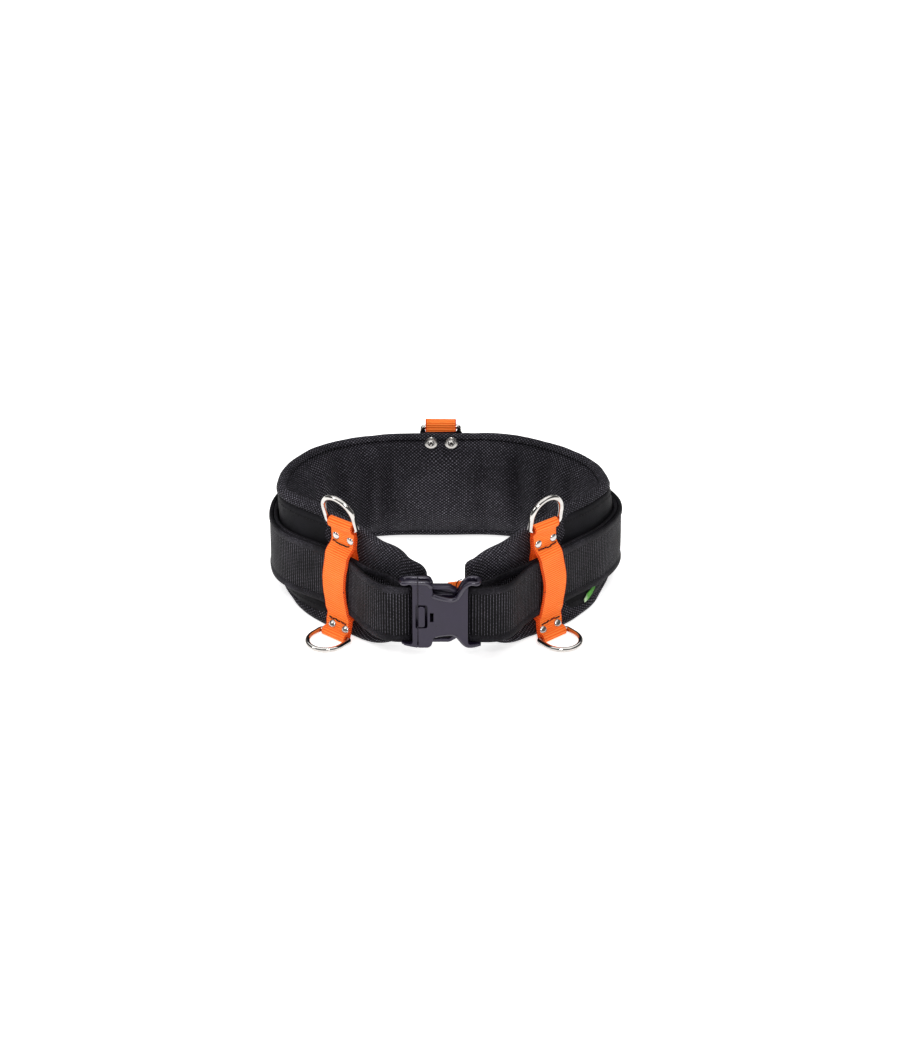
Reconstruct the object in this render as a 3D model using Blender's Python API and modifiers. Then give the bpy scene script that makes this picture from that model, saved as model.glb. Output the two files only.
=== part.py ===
"""Padded work belt with a moulded buckle and three orange ring straps, fastened and standing on a flat surface."""

import math

import bmesh
import bpy
import numpy as np
from mathutils import Matrix, Vector

# Lengths are in millimetres, and MM turns them to metres.
# The belt frame has X to the right, Y from the buckle to the back and Z up from the surface below.
MM = 0.001
GAP = 0.35
FRAME_CENTRE = (0.57, 136.29)

# Belt webbing
WEB_WIDTH = 50.0
WEB_BOTTOM = 21.0
WEB_MIDDLE = WEB_BOTTOM + WEB_WIDTH / 2
WEB_HALF = 1.1
RIM_HALF = 1.7
RIM_HEIGHT = 6.0
FOLD_RADIUS = 3.9
LEFT_BAR_X = -31.0
RIGHT_BAR_X = 22.7
BAR_Y = 5.0
BAR_RADIUS = 1.8

# One row per place round the belt, from the buckle's left bar round the back to its right bar.
# x, y: middle of the webbing. tail, pad: how far inside it lie the folded tail and the pad's outer face.
# flare, lean: how far the pad's bottom edge stands out and its top edge leans in.
# bottom, top: heights of the pad's edges. thick: thickness of its foam.
PLAN_COLUMNS = ("x", "y", "tail", "pad", "flare", "lean", "bottom", "top", "thick")
PLAN = (
    (-31.0, 1.1, 7.8, 16.5, 0, 0, 15, 83, 15),
    (-43.0, 2.0, 11.5, 17.5, 0, 0, 9, 89, 16),
    (-53.0, 7.5, 14.5, 18.5, 0, 0, 5, 92, 16),
    (-64.5, 21.0, 11.5, 16.0, 4, 0, 3, 93, 16),
    (-76.6, 42.4, 4.6, 11.5, 9.5, 0.5, 0, 94, 17),
    (-97.9, 65.0, 3.9, 9.6, 12, 3, 0, 96, 18),
    (-111.0, 75.5, 3.9, 7.2, 7, 8, 0, 97, 18),
    (-127.5, 89.5, 3.9, 6.2, -1, 9, 0, 97, 18),
    (-138.5, 105.0, 3.9, 6.2, -5, 6, 0, 97, 18),
    (-143.5, 122.0, 3.9, 6.2, -4, 0, 0, 97, 18),
    (-144.5, 138.0, 3.9, 6.2, -2, -1, 0, 97, 18),
    (-142.0, 158.0, 3.9, 6.2, 0, -1, 0, 97, 18),
    (-131.0, 185.5, 3.9, 6.0, 0, -1, 0, 97, 18),
    (-110.5, 209.5, 0, 4.0, 0, 0.5, 0, 97, 18),
    (-84.0, 224.0, 0, 2.8, 0, 1, 0, 97, 18),
    (-45.0, 233.5, 0, 2.8, 0, 0.5, 0, 97, 18),
    (-3.0, 237.0, 0, 5.8, 0, 0, 0, 97, 18),
    (42.0, 234.0, 0, 2.8, 0, 0, 0, 97, 18),
    (80.0, 223.5, 0, 2.8, 0, 2, 0, 97, 18),
    (106.0, 208.5, 0, 4.0, 0, 3, 0, 97, 18),
    (128.0, 187.0, 3.9, 6.0, 0, 2, 0, 97, 18),
    (141.8, 163.5, 3.9, 6.2, 0, 4, 0, 97, 18),
    (145.8, 144.5, 3.9, 6.2, -2, 4, 0, 97, 18),
    (143.9, 131.0, 3.9, 6.2, -3, 3, 0, 97, 18),
    (138.0, 116.0, 3.9, 6.2, -2, 5.5, 0, 97, 18),
    (127.5, 99.0, 3.9, 6.2, 3, 7, 0, 97, 18),
    (111.0, 81.0, 3.9, 7.2, 9, 7, 0, 97, 18),
    (95.0, 64.0, 3.9, 9.6, 13, 3, 0, 96, 18),
    (71.5, 38.5, 4.6, 11.5, 8.5, 0.5, 1, 94, 17),
    (60.0, 20.0, 11.5, 16.0, 4, 0, 4, 92.5, 16),
    (50.0, 6.0, 14.5, 18.5, 0, 0, 6, 91, 16),
    (40.5, 1.2, 12.5, 18.5, 0, 0, 10, 88, 16),
    (22.7, 1.1, 7.8, 16.5, 0, 0, 15, 81, 15),
)
LEFT_TAIL_ROWS = (0, 12)
RIGHT_TAIL_ROWS = (20, 32)

# The pad's two ends reach past the bars: x, y, flare, lean, bottom, top, thick
LEFT_END = ((-11.0, 19.5, 0, 0, 19, 71, 12), (-21.0, 18.0, 0, 0, 17, 77, 14))
RIGHT_END = ((14.5, 18.5, 0, 0, 18, 74, 13),)

# Pad section
PAD_RIM = 8.0
PAD_RIM_RADIUS = 4.0
PAD_END_ROUND = 9.0
PANEL_THICK = 1.2
PANEL_RECESS = PANEL_THICK + 0.6
PANEL_INSET = 7.0
LEVEL_SHARE = 0.53
GROOVE_DEPTH = 7.0
GROOVE_WIDTH = 9.0
# Share of the way round the pad of each upright groove inside, and its share of the full depth
PAD_GROOVES = ((0.190, 0.5), (0.245, 0.5), (0.322, 0.45), (0.404, 1.0),
               (0.593, 1.0), (0.678, 0.45), (0.755, 0.5), (0.810, 0.5))

# Orange ring straps, each a flat loop round the webbing, with a ring in the fold at either end
STRAP_WIDTH = 26.0
STRAP_HALF = 0.75
JOINED = STRAP_HALF + GAP / 2
OUTSIDE = RIM_HALF + GAP + STRAP_HALF + 0.5
# The belt curves behind a flat strap, so its inner layer stands off a little more
BEHIND_WEB = -(OUTSIDE + 0.5)
BEHIND_TAIL = -(OUTSIDE + 3.9 + 0.9)
# Front straps: middle of the two joined layers above and below the belt: out from the webbing, height
FRONT_TOP = ((-3.8, 81.0), (-3.8, 85.5), (-3.2, 90.0), (-1.6, 94.5))
FRONT_FOOT = ((2.0, 16.5), (3.0, 14.2), (5.1, 10.6), (7.2, 7.0))
BACK_TOP = ((-1.2, 82.0), (-1.2, 88.0), (-1.2, 94.0))
# Each ring's bar, and the middle of the strap's fold round it
FRONT_TOP_BAR = (-0.2, 98.8)
FRONT_TOP_FOLD = (0.5, 102.2)
FRONT_FOOT_BAR = (10.6, 4.0)
BACK_TOP_BAR = (1.0, 98.0)
BACK_TOP_FOLD = (1.2, 101.2)
# near: where each strap crosses the webbing. stand_off: how far it stands off it there.
# turn and slide: how far its top and its foot turn, in degrees, and slide towards the buckle.
STRAPS = {
    "left": {"near": (-87.5, 55.0), "stand_off": 0.8, "top_turn": 6.0, "foot_turn": 4.0,
             "top_slide": 7.0, "foot_slide": 8.0},
    "right": {"near": (87.0, 55.5), "stand_off": 0.0, "top_turn": -6.0, "foot_turn": -4.0,
              "top_slide": 9.0, "foot_slide": 9.0},
    "back": {"near": (-4.0, 237.0), "stand_off": 0.0, "top_turn": 0.0, "foot_turn": 0.0,
             "top_slide": 0.0, "foot_slide": 0.0},
}

# Seats of the straps on the webbing, worked out once each
SEATS = {}

# D-rings
RING_WIRE = 2.15
RING_HALF_WIDTH = 15.8
RING_LEG = 11.5
RING_CORNER = 2.4
RING_LEAN = {"left_top": 16.0, "right_top": 9.0, "back_top": 162.0}
FOOT_RING_LEAN = 93.2

# Rivets
RIVET_SPREAD = 7.6
BACK_RIVET_SPREAD = 8.6
SHANK_RADIUS = 1.3
HOLE_RADIUS = 1.7
HEAD_RADIUS = 3.6
HEAD_HEIGHT = 1.6
FOOT_RADIUS = 3.2
FOOT_HEIGHT = 0.8
WASHER_RADIUS = 5.6

# Buckle, with x and z from its middle
BUCKLE_FRONT = -4.3
BUCKLE_BACK = 10.7
BUCKLE_HALF = 29.6
EAR_INNER = 26.0
SEAM = (-21.9, -21.5)
PLUG_EDGE = -35.2
SOCKET_EDGE = 28.3
WAIST_HALF = 16.4
ARM_BAND = (-0.2, 6.4)
CHANNEL_BAND = (-0.6, 6.8)

# Cloth patch behind the back strap
PATCH_THICK = 1.0
PATCH_HALF_WIDTH = 17.0
PATCH_HEIGHTS = (74.0, 99.5)

# Slanting ribbon tag low on the pad's right side: place along the pad from its middle, and its two heights there
TAG_NEAR = (118.0, 97.0)
TAG_THICK = 0.8
TAG_ROWS = ((-8.0, 8.5, 11.5), (-3.0, 9.8, 14.2), (3.0, 12.2, 16.8), (8.0, 15.2, 18.0))

# Folded tab at the pad's right end: its depths, and its corners in x, z and radius
TAB_DEPTHS = (17.2, 18.8)
TAB_CORNERS = ((2.2, 60.5, 1.0), (20.0, 70.0, 1.0), (22.0, 54.0, 1.0), (4.0, 46.0, 1.0))


def spline(knots, rows, at):
    """Natural cubic spline through one row of values per knot, read at each place in at."""
    knots, rows, at = (np.asarray(item, float) for item in (knots, rows, at))
    step = np.diff(knots)[:, None]
    left = np.eye(len(knots))
    right = np.zeros_like(rows)
    slope = np.diff(rows, axis=0) / step
    for i in range(1, len(knots) - 1):
        left[i, i - 1:i + 2] = step[i - 1, 0], 2 * (step[i - 1, 0] + step[i, 0]), step[i, 0]
        right[i] = 6 * (slope[i] - slope[i - 1])
    bend = np.linalg.solve(left, right)
    i = np.clip(np.searchsorted(knots, at) - 1, 0, len(knots) - 2)
    b = ((at - knots[i]) / step[i, 0])[:, None]
    a = 1 - b
    h = step[i]
    return a * rows[i] + b * rows[i + 1] + h * h / 6 * ((a**3 - a) * bend[i] + (b**3 - b) * bend[i + 1])


def lengths_along(points):
    """Distance from the first point to each point, along the line through them."""
    return np.concatenate([[0.0], np.cumsum(np.linalg.norm(np.diff(points, axis=0), axis=1))])


def side_normals(points, closed=False):
    """Unit normals, 90 degrees to the left of travel, of a line in the plane."""
    if closed:
        tangent = np.roll(points, -1, axis=0) - np.roll(points, 1, axis=0)
    else:
        tangent = np.gradient(points, axis=0)
    tangent /= np.linalg.norm(tangent, axis=1)[:, None]
    return np.stack([-tangent[:, 1], tangent[:, 0]], axis=1)


def place(x, y, z):
    """A place in the belt frame, in metres about the foot of the belt's middle."""
    return Vector(((x - FRAME_CENTRE[0]) * MM, (y - FRAME_CENTRE[1]) * MM, z * MM))


def material(name, colour, roughness, metallic=0.0):
    made = bpy.data.materials.new(name)
    made.use_nodes = True
    shader = made.node_tree.nodes["Principled BSDF"]
    shader.inputs["Base Color"].default_value = (*colour, 1.0)
    shader.inputs["Roughness"].default_value = roughness
    shader.inputs["Metallic"].default_value = metallic
    made.diffuse_color = (*colour, 1.0)
    return made


def add_object(name, mesh, look, home):
    """An object for a finished mesh; with no look it is a cutter."""
    made = bpy.data.objects.new(name, mesh)
    home.objects.link(made)
    if look:
        mesh.materials.clear()
        mesh.materials.append(look)
        mesh.shade_smooth()
        mesh.set_sharp_from_angle(angle=math.radians(35))
    else:
        made.hide_render = True
        made.display_type = "WIRE"
    return made


def loft(name, rings, look, home, closed=False):
    """One solid through rings of points; an open run of rings gets two flat ends."""
    shape = bmesh.new()
    rows = [[shape.verts.new(point) for point in ring] for ring in rings]
    pairs = list(zip(rows, rows[1:] + rows[:1])) if closed else list(zip(rows, rows[1:]))
    size = len(rows[0])
    for here, there in pairs:
        for i in range(size):
            j = (i + 1) % size
            shape.faces.new((here[i], here[j], there[j], there[i]))
    if not closed:
        shape.faces.new(rows[0][::-1])
        shape.faces.new(rows[-1])
    bmesh.ops.recalc_face_normals(shape, faces=shape.faces)
    if shape.calc_volume(signed=True) < 0:
        bmesh.ops.reverse_faces(shape, faces=shape.faces)
    mesh = bpy.data.meshes.new(name)
    shape.to_mesh(mesh)
    shape.free()
    return add_object(name, mesh, look, home)


def curve_to_mesh(curve_object, look, home):
    """The mesh that a curve object makes, welded, in its place, as a new object of the same name."""
    name = curve_object.name
    bpy.context.view_layer.update()
    graph = bpy.context.evaluated_depsgraph_get()
    mesh = bpy.data.meshes.new_from_object(curve_object.evaluated_get(graph))
    mesh.transform(curve_object.matrix_world)
    bpy.data.objects.remove(curve_object, do_unlink=True)
    shape = bmesh.new()
    shape.from_mesh(mesh)
    bmesh.ops.remove_doubles(shape, verts=shape.verts, dist=1e-6)
    bmesh.ops.recalc_face_normals(shape, faces=shape.faces)
    shape.to_mesh(mesh)
    shape.free()
    mesh.name = name
    return add_object(name, mesh, look, home)


def boolean(target, tool, operation):
    """Cut or join with another object, which is used up by a join and kept as a cutter by a cut."""
    modifier = target.modifiers.new(tool.name, "BOOLEAN")
    modifier.operation = operation
    modifier.solver = "EXACT"
    modifier.object = tool
    bpy.context.view_layer.update()
    graph = bpy.context.evaluated_depsgraph_get()
    mesh = bpy.data.meshes.new_from_object(target.evaluated_get(graph))
    target.modifiers.clear()
    target.data = mesh
    if operation == "UNION":
        bpy.data.objects.remove(tool, do_unlink=True)


def rounded_outline(corners, steps=3):
    """Points of an outline through rows of x, z and corner radius."""
    outline = []
    for i, (x, z, radius) in enumerate(corners):
        here = Vector((x, z))
        back = (Vector(corners[i - 1][:2]) - here).normalized()
        ahead = (Vector(corners[(i + 1) % len(corners)][:2]) - here).normalized()
        half = back.angle(ahead) / 2
        if radius == 0:
            outline.append(here)
            continue
        centre = here + (back + ahead).normalized() * radius / math.sin(half)
        start = here + back * radius / math.tan(half) - centre
        sweep = start.angle_signed(here + ahead * radius / math.tan(half) - centre)
        for k in range(steps + 1):
            outline.append(centre + Matrix.Rotation(-sweep * k / steps, 2) @ start)
    return outline


def slab(name, outline, front, back, look, home, edge=0.0, lift=WEB_MIDDLE):
    """A flat piece standing in the XZ plane between two depths, its edges rounded by edge."""
    curve = bpy.data.curves.new(name, "CURVE")
    curve.dimensions = "2D"
    curve.fill_mode = "BOTH"
    curve.extrude = ((back - front) / 2 - edge) * MM
    curve.bevel_depth = edge * MM
    curve.offset = -edge * MM
    curve.bevel_resolution = 0
    line = curve.splines.new("POLY")
    line.points.add(len(outline) - 1)
    for point, (x, z) in zip(line.points, outline):
        point.co = (x * MM, z * MM, 0, 1)
    line.use_cyclic_u = True
    made = bpy.data.objects.new(name, curve)
    home.objects.link(made)
    made.rotation_euler = (math.pi / 2, 0, 0)
    made.location = place(0, (front + back) / 2, lift)
    return curve_to_mesh(made, look, home)


def box(name, x, y, z, home, lift=WEB_MIDDLE):
    """A block cutter between pairs of x, y and z."""
    shape = bmesh.new()
    bmesh.ops.create_cube(shape, size=MM)
    spans = [pair[1] - pair[0] for pair in (x, y, z)]
    middle = place(sum(x) / 2, sum(y) / 2, sum(z) / 2 + lift)
    bmesh.ops.transform(shape, verts=shape.verts, matrix=Matrix.Translation(middle) @ Matrix.Diagonal((*spans, 1)))
    mesh = bpy.data.meshes.new(name)
    shape.to_mesh(mesh)
    shape.free()
    return add_object(name, mesh, None, home)


def rod(name, foot, along, length, radius, look, home, sides=12):
    """A cylinder from its foot, along a direction."""
    shape = bmesh.new()
    turn = Vector((0, 0, 1)).rotation_difference(along).to_matrix().to_4x4()
    matrix = Matrix.Translation(foot) @ turn @ Matrix.Translation((0, 0, length * MM / 2))
    bmesh.ops.create_cone(shape, cap_ends=True, segments=sides, radius1=radius * MM, radius2=radius * MM,
                          depth=length * MM, matrix=matrix)
    mesh = bpy.data.meshes.new(name)
    shape.to_mesh(mesh)
    shape.free()
    return add_object(name, mesh, look, home)


def plan_line(spacing, first_row=0, last_row=None):
    """The plan, smoothed and read about every spacing: its columns, points and inward normals."""
    rows = np.array(PLAN, float)
    at_rows = lengths_along(rows[:, :2])
    last_row = len(rows) - 1 if last_row is None else last_row
    start, end = at_rows[first_row], at_rows[last_row]
    at = np.linspace(start, end, int(round((end - start) / spacing)) + 1)
    return read_plan(at)


def read_plan(at):
    rows = np.array(PLAN, float)
    at_rows = lengths_along(rows[:, :2])
    values = spline(at_rows, rows, at)
    line = {name: values[:, i] for i, name in enumerate(PLAN_COLUMNS)}
    line["values"] = values
    line["point"] = values[:, :2]
    step = 0.5
    ahead = spline(at_rows, rows[:, :2], np.minimum(at + step, at_rows[-1]))
    behind = spline(at_rows, rows[:, :2], np.maximum(at - step, 0))
    travel = (ahead - behind) / np.linalg.norm(ahead - behind, axis=1)[:, None]
    line["inward"] = np.stack([travel[:, 1], -travel[:, 0]], axis=1)
    return line


def fold(bar_x, turn):
    """Half turn of the webbing round a buckle bar, from its back to its front."""
    angles = np.radians(np.linspace(70, -70, 6))
    return np.stack([bar_x + turn * FOLD_RADIUS * np.cos(angles), BAR_Y + FOLD_RADIUS * np.sin(angles)], axis=1)


def webbing_path():
    """Middle of the webbing: left tail, left fold, once round the belt, right fold, right tail."""
    spacing = 15.0
    band = plan_line(spacing)
    left = plan_line(spacing, *LEFT_TAIL_ROWS)
    right = plan_line(spacing, *RIGHT_TAIL_ROWS)
    left_tail = left["point"] + left["inward"] * left["tail"][:, None]
    right_tail = right["point"] + right["inward"] * right["tail"][:, None]
    return np.concatenate([left_tail[::-1], fold(LEFT_BAR_X, 1), band["point"],
                           fold(RIGHT_BAR_X, -1)[::-1], right_tail[::-1]])


def webbing_section():
    """Half-thickness at each height of the webbing, with its two bound edges."""
    foot = [(0.9, 0.0), (RIM_HALF, RIM_HEIGHT - 1.0), (WEB_HALF, RIM_HEIGHT + 1.0)]
    side = foot + [(half, WEB_WIDTH - height) for half, height in foot[::-1]]
    return side + [(-half, height) for half, height in side[::-1]]


def make_webbing(look, home):
    path = webbing_path()
    normals = side_normals(path)
    rings = [[place(*(point + normal * half), WEB_BOTTOM + height) for half, height in webbing_section()]
             for point, normal in zip(path, normals)]
    loft("belt_webbing", rings, look, home)


def pad_rows():
    """Rows of the pad's outer face at belt level, from its left end round to its right end."""
    at_rows = lengths_along(np.array(PLAN, float)[:, :2])
    line = read_plan(at_rows)
    face = line["point"] + line["inward"] * line["pad"][:, None]
    middle = np.column_stack([face, line["values"][:, 4:]])
    return np.concatenate([np.array(LEFT_END, float), middle, np.array(RIGHT_END, float)])


def read_pad(at):
    """The pad at places along it: points of its outer face at belt level, inward normals and section values."""
    rows = pad_rows()
    at_rows = lengths_along(rows[:, :2])
    values = spline(at_rows, rows, at)
    values[:, 4] = np.maximum(values[:, 4], 0.0)
    step = 0.5
    travel = spline(at_rows, rows[:, :2], at + step) - spline(at_rows, rows[:, :2], at - step)
    travel /= np.linalg.norm(travel, axis=1)[:, None]
    return values[:, :2], np.stack([travel[:, 1], -travel[:, 0]], axis=1), values[:, 2:]


def pad_stations():
    """Smooth rows of the pad, closer together at its ends and at its grooves, with the foam's dents."""
    total = lengths_along(pad_rows()[:, :2])[-1]
    at = list(np.arange(0, total, 16.0)) + [total]
    for share, depth in PAD_GROOVES:
        at = [spot for spot in at if abs(spot - share * total) > GROOVE_WIDTH]
        sides = (-0.9, -0.4, 0, 0.4, 0.9) if depth == 1 else (-0.7, 0, 0.7)
        at += [share * total + side * GROOVE_WIDTH for side in sides]
    for end, way in ((0, 1), (total, -1)):
        at = [spot for spot in at if abs(spot - end) > PAD_END_ROUND + 1]
        at += [end + way * PAD_END_ROUND * share for share in (0.0, 0.12, 0.4, 1.0)]
    at = np.array(sorted(at))
    point, normal, values = read_pad(at)
    dent = np.zeros(len(at))
    for share, depth in PAD_GROOVES:
        dent += depth * GROOVE_DEPTH * np.exp(-((at - share * total) / (0.5 * GROOVE_WIDTH))**2)
    from_end = np.minimum(at, total - at) / PAD_END_ROUND
    swell = np.sqrt(np.clip(1 - (1 - np.minimum(from_end, 1))**2, 0.06, 1))
    return point, normal, values, dent, swell


def outer_face(height, bottom, top, flare, lean):
    """How far inside belt level the pad's outer face lies at a height."""
    low = max(0.0, (WEB_BOTTOM + 1 - height) / (WEB_BOTTOM + 1 - bottom))
    high = max(0.0, (height - (WEB_BOTTOM + WEB_WIDTH)) / max(top - (WEB_BOTTOM + WEB_WIDTH), 5.0))
    return -flare * low + lean * min(high, 1.0)


def squeezed(outline, thick, middle, half, swell):
    """An outline of the pad drawn in towards its middle, for the rounded ends."""
    squash = 1 - (1 - swell) * PAD_END_ROUND / half
    centre = thick / 2
    return [(centre + (depth - centre) * swell, middle + (height - middle) * squash) for depth, height in outline]


def pad_section(values, dent, swell):
    """Closed outline of the foam pad: depth inside belt level, and height."""
    flare, lean, bottom, top, thick = values
    foam = max(thick - dent, PAD_RIM)
    r = PAD_RIM_RADIUS
    middle = (bottom + top) / 2
    half = (top - bottom) / 2

    def outer(height):
        return outer_face(height, bottom, top, flare, lean)

    def edge(side):
        """Outer face, rolled rim and foam slope of one edge, from the outside in."""
        end = middle + side * half
        level = middle + side * half * LEVEL_SHARE
        return [(outer(level) + PANEL_RECESS, level),
                (outer(end - side * PANEL_INSET) + PANEL_RECESS, end - side * PANEL_INSET),
                (outer(end - side * PANEL_INSET), end - side * (PANEL_INSET - 0.6)),
                (outer(end), end - side * 0.8 * r),
                (outer(end) + 0.6 * r, end), (outer(end) + PAD_RIM - 0.6 * r, end),
                (outer(end) + PAD_RIM + 0.3 * (foam - PAD_RIM), end - side * 6),
                (outer(end) * 0.5 + PAD_RIM + 0.9 * (foam - PAD_RIM), end - side * 21)]

    outline = edge(-1) + [(foam, middle)] + edge(1)[::-1]
    return squeezed(outline, thick, middle, half, swell)


def panel_section(values, swell):
    """Closed outline of the cloth panel that lies in the recess of the pad's outer face."""
    flare, lean, bottom, top, thick = values
    middle = (bottom + top) / 2
    half = (top - bottom) / 2
    heights = [middle + side * reach for side, reach in
               ((-1, half - PANEL_INSET - GAP), (-1, half * LEVEL_SHARE), (1, half * LEVEL_SHARE),
                (1, half - PANEL_INSET - GAP))]
    face = [(outer_face(height, bottom, top, flare, lean), height) for height in heights]
    outline = face + [(depth + PANEL_THICK, height) for depth, height in face[::-1]]
    return squeezed(outline, thick, middle, half, swell)


def make_pad(foam_look, cloth_look, home):
    point, normal, values, dent, swell = pad_stations()
    foam, panel = [], []
    for i in range(len(point)):
        foam.append([place(*(point[i] + normal[i] * depth), height)
                     for depth, height in pad_section(values[i], dent[i], swell[i])])
        panel.append([place(*(point[i] + normal[i] * depth), height)
                      for depth, height in panel_section(values[i], swell[i])])
    pad = loft("comfort_pad", foam, foam_look, home)
    cloth = loft("pad_panel", panel[3:-3], cloth_look, home)
    return pad, cloth


def strap_seat(side):
    """Where a strap crosses the webbing: its middle and its outward direction, in plan."""
    line = plan_line(0.5)
    nearest = int(np.argmin(np.linalg.norm(line["point"] - np.array(STRAPS[side]["near"]), axis=1)))
    half = int(STRAP_WIDTH)
    chord = Vector(line["point"][nearest + half] - line["point"][nearest - half]).normalized()
    outward = Vector((-chord.y, chord.x))
    return Vector(line["point"][nearest]) + outward * STRAPS[side]["stand_off"], outward


def strap_place(side, out, height, across=0.0):
    """A place on a strap, from how far out, how high and how far across it is."""
    middle, outward = SEATS.setdefault(side, strap_seat(side))
    setting = STRAPS[side]
    if height > WEB_MIDDLE:
        end, reach = "top", (height - WEB_MIDDLE) / (FRONT_TOP[-1][1] - WEB_MIDDLE)
    else:
        end, reach = "foot", (WEB_MIDDLE - height) / (WEB_MIDDLE - FRONT_FOOT[-1][1])
    reach = min(reach, 1.0)
    turned = outward.copy()
    turned.rotate(Matrix.Rotation(math.radians(setting[end + "_turn"] * reach**3), 2))
    slide = setting[end + "_slide"] * reach**2 * (1 if side == "left" else -1)
    spot = middle + turned * out + Vector((-turned.y, turned.x)) * (across + slide)
    return place(spot.x, spot.y, height)


def arc(centre, start, end, steps):
    """Points of the strap's middle round a ring bar, between two angles."""
    radius = RING_WIRE + GAP + STRAP_HALF
    angles = np.radians(np.linspace(start, end, steps))
    return [(centre[0] + radius * math.cos(a), centre[1] + radius * math.sin(a)) for a in angles]


def ring_fold(joined_end, bar, middle):
    """The strap's way from the joined layers round a ring bar and back, the fold's middle beyond the bar."""
    along = math.degrees(math.atan2(bar[1] - joined_end[1], bar[0] - joined_end[0]))
    slack = math.degrees(math.atan2(middle[1] - bar[1], middle[0] - bar[0])) if middle != bar else along
    spread = 125
    around = arc(bar, along + spread, slack + 90, 3)
    over = arc(middle, slack + 90, slack - 90, 7)
    if middle == bar:
        around, over = around[:-1], over[:-1]
    return around + over + arc(bar, slack - 90, along - spread, 3)


def joined_layers(line, sign):
    """The outer or inner of two layers that lie together along a line."""
    points = np.array(line)
    normals = side_normals(points)
    return [tuple(point) for point in points + normals * JOINED * sign]


def strap_loop(side):
    """Middle of a strap's webbing as one closed loop: down the outside, round, up the inside and round."""
    back = side == "back"
    top, top_bar, top_fold = ((BACK_TOP, BACK_TOP_BAR, BACK_TOP_FOLD) if back
                              else (FRONT_TOP, FRONT_TOP_BAR, FRONT_TOP_FOLD))
    behind = BEHIND_WEB if back else BEHIND_TAIL
    web_top = WEB_BOTTOM + WEB_WIDTH
    outer_top = joined_layers(top[::-1], 1)
    inner_top = joined_layers(top[::-1], -1)
    outer_foot = joined_layers(FRONT_FOOT, 1)
    inner_foot = joined_layers(FRONT_FOOT, -1)
    outer = [(OUTSIDE - 0.6, web_top + 2), (OUTSIDE, web_top - 4), (OUTSIDE + 0.3, WEB_MIDDLE),
             (OUTSIDE, WEB_BOTTOM + 4), (OUTSIDE + 0.1, WEB_BOTTOM - 0.5)]
    inner = [(behind + 2.4, WEB_BOTTOM - 2.0), (behind, WEB_BOTTOM + 3), (behind, WEB_MIDDLE),
             (behind, web_top - 2.5)]
    return (ring_fold(top[-1], top_bar, top_fold) + outer_top + outer + outer_foot
            + ring_fold(FRONT_FOOT[-1], FRONT_FOOT_BAR, FRONT_FOOT_BAR) + inner_foot[::-1] + inner
            + inner_top[::-1])


def make_strap(side, look, home):
    loop = np.array(strap_loop(side))
    normals = side_normals(loop, closed=True)
    rings = []
    for point, normal in zip(loop, normals):
        corners = ((-1, -1), (-1, 1), (1, 1), (1, -1))
        rings.append([strap_place(side, *(point + normal * STRAP_HALF * layer), across * STRAP_WIDTH / 2)
                      for layer, across in corners])
    return loft(side + "_ring_strap", rings, look, home, closed=True)


def ring_outline():
    """Points of a D-ring's wire from the middle of its bar: across, and away from the bar."""
    corner = [(RING_HALF_WIDTH - RING_CORNER * (1 - math.sin(a)), RING_CORNER * (1 - math.cos(a)))
              for a in np.radians((0, 45, 90))]
    bow = [(RING_HALF_WIDTH * math.cos(a), RING_LEG + RING_HALF_WIDTH * math.sin(a))
           for a in np.radians(np.linspace(0, 90, 5))]
    half = corner + bow
    return half + [(-across, away) for across, away in half[-2::-1]]


def make_ring(name, side, bar, lean, look, home):
    """A D-ring of round wire; its origin is on its bar, and lean is its turn outward from upright."""
    across = strap_place(side, 0, bar[1], 1.0) - strap_place(side, 0, bar[1], 0.0)
    across.normalize()
    outward = (strap_place(side, 1.0, bar[1]) - strap_place(side, 0.0, bar[1])).normalized()
    away = Vector((0, 0, 1)) * math.cos(math.radians(lean)) + outward * math.sin(math.radians(lean))
    curve = bpy.data.curves.new(name, "CURVE")
    curve.dimensions = "3D"
    curve.bevel_depth = RING_WIRE * MM
    curve.bevel_resolution = 1
    outline = ring_outline()
    line = curve.splines.new("POLY")
    line.points.add(len(outline) - 1)
    for point, (side_way, reach) in zip(line.points, outline):
        point.co = (*(across * side_way * MM + away * reach * MM), 1)
    line.use_cyclic_u = True
    made = bpy.data.objects.new(name, curve)
    home.objects.link(made)
    curve.materials.append(look)
    made.location = strap_place(side, *bar)
    return made


def rivet_profile(body, head_radius, foot_radius):
    """Half outline of a rivet along its axis: radius and height above the middle of what it joins."""
    top = body / 2
    return [(0.0, top + HEAD_HEIGHT), (head_radius * 0.65, top + HEAD_HEIGHT * 0.8), (head_radius, top),
            (SHANK_RADIUS, top), (SHANK_RADIUS, -top), (foot_radius, -top),
            (foot_radius * 0.9, -top - FOOT_HEIGHT), (0.0, -top - FOOT_HEIGHT)]


def make_rivet(name, middle, axis, body, foot_radius, look, home):
    """A turned rivet; body is the thickness that it holds between its head and its foot."""
    profile = rivet_profile(body, HEAD_RADIUS, foot_radius)
    mesh = bpy.data.meshes.new(name)
    points = [(radius * MM, 0, height * MM) for radius, height in profile]
    mesh.from_pydata(points, [(i, i + 1) for i in range(len(points) - 1)], [])
    made = bpy.data.objects.new(name, mesh)
    home.objects.link(made)
    mesh.materials.append(look)
    screw = made.modifiers.new("turned", "SCREW")
    screw.steps = screw.render_steps = 8
    screw.use_merge_vertices = True
    screw.merge_threshold = 0.000001
    made.rotation_mode = "QUATERNION"
    made.rotation_quaternion = Vector((0, 0, 1)).rotation_difference(axis)
    made.location = middle
    return made


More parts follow.
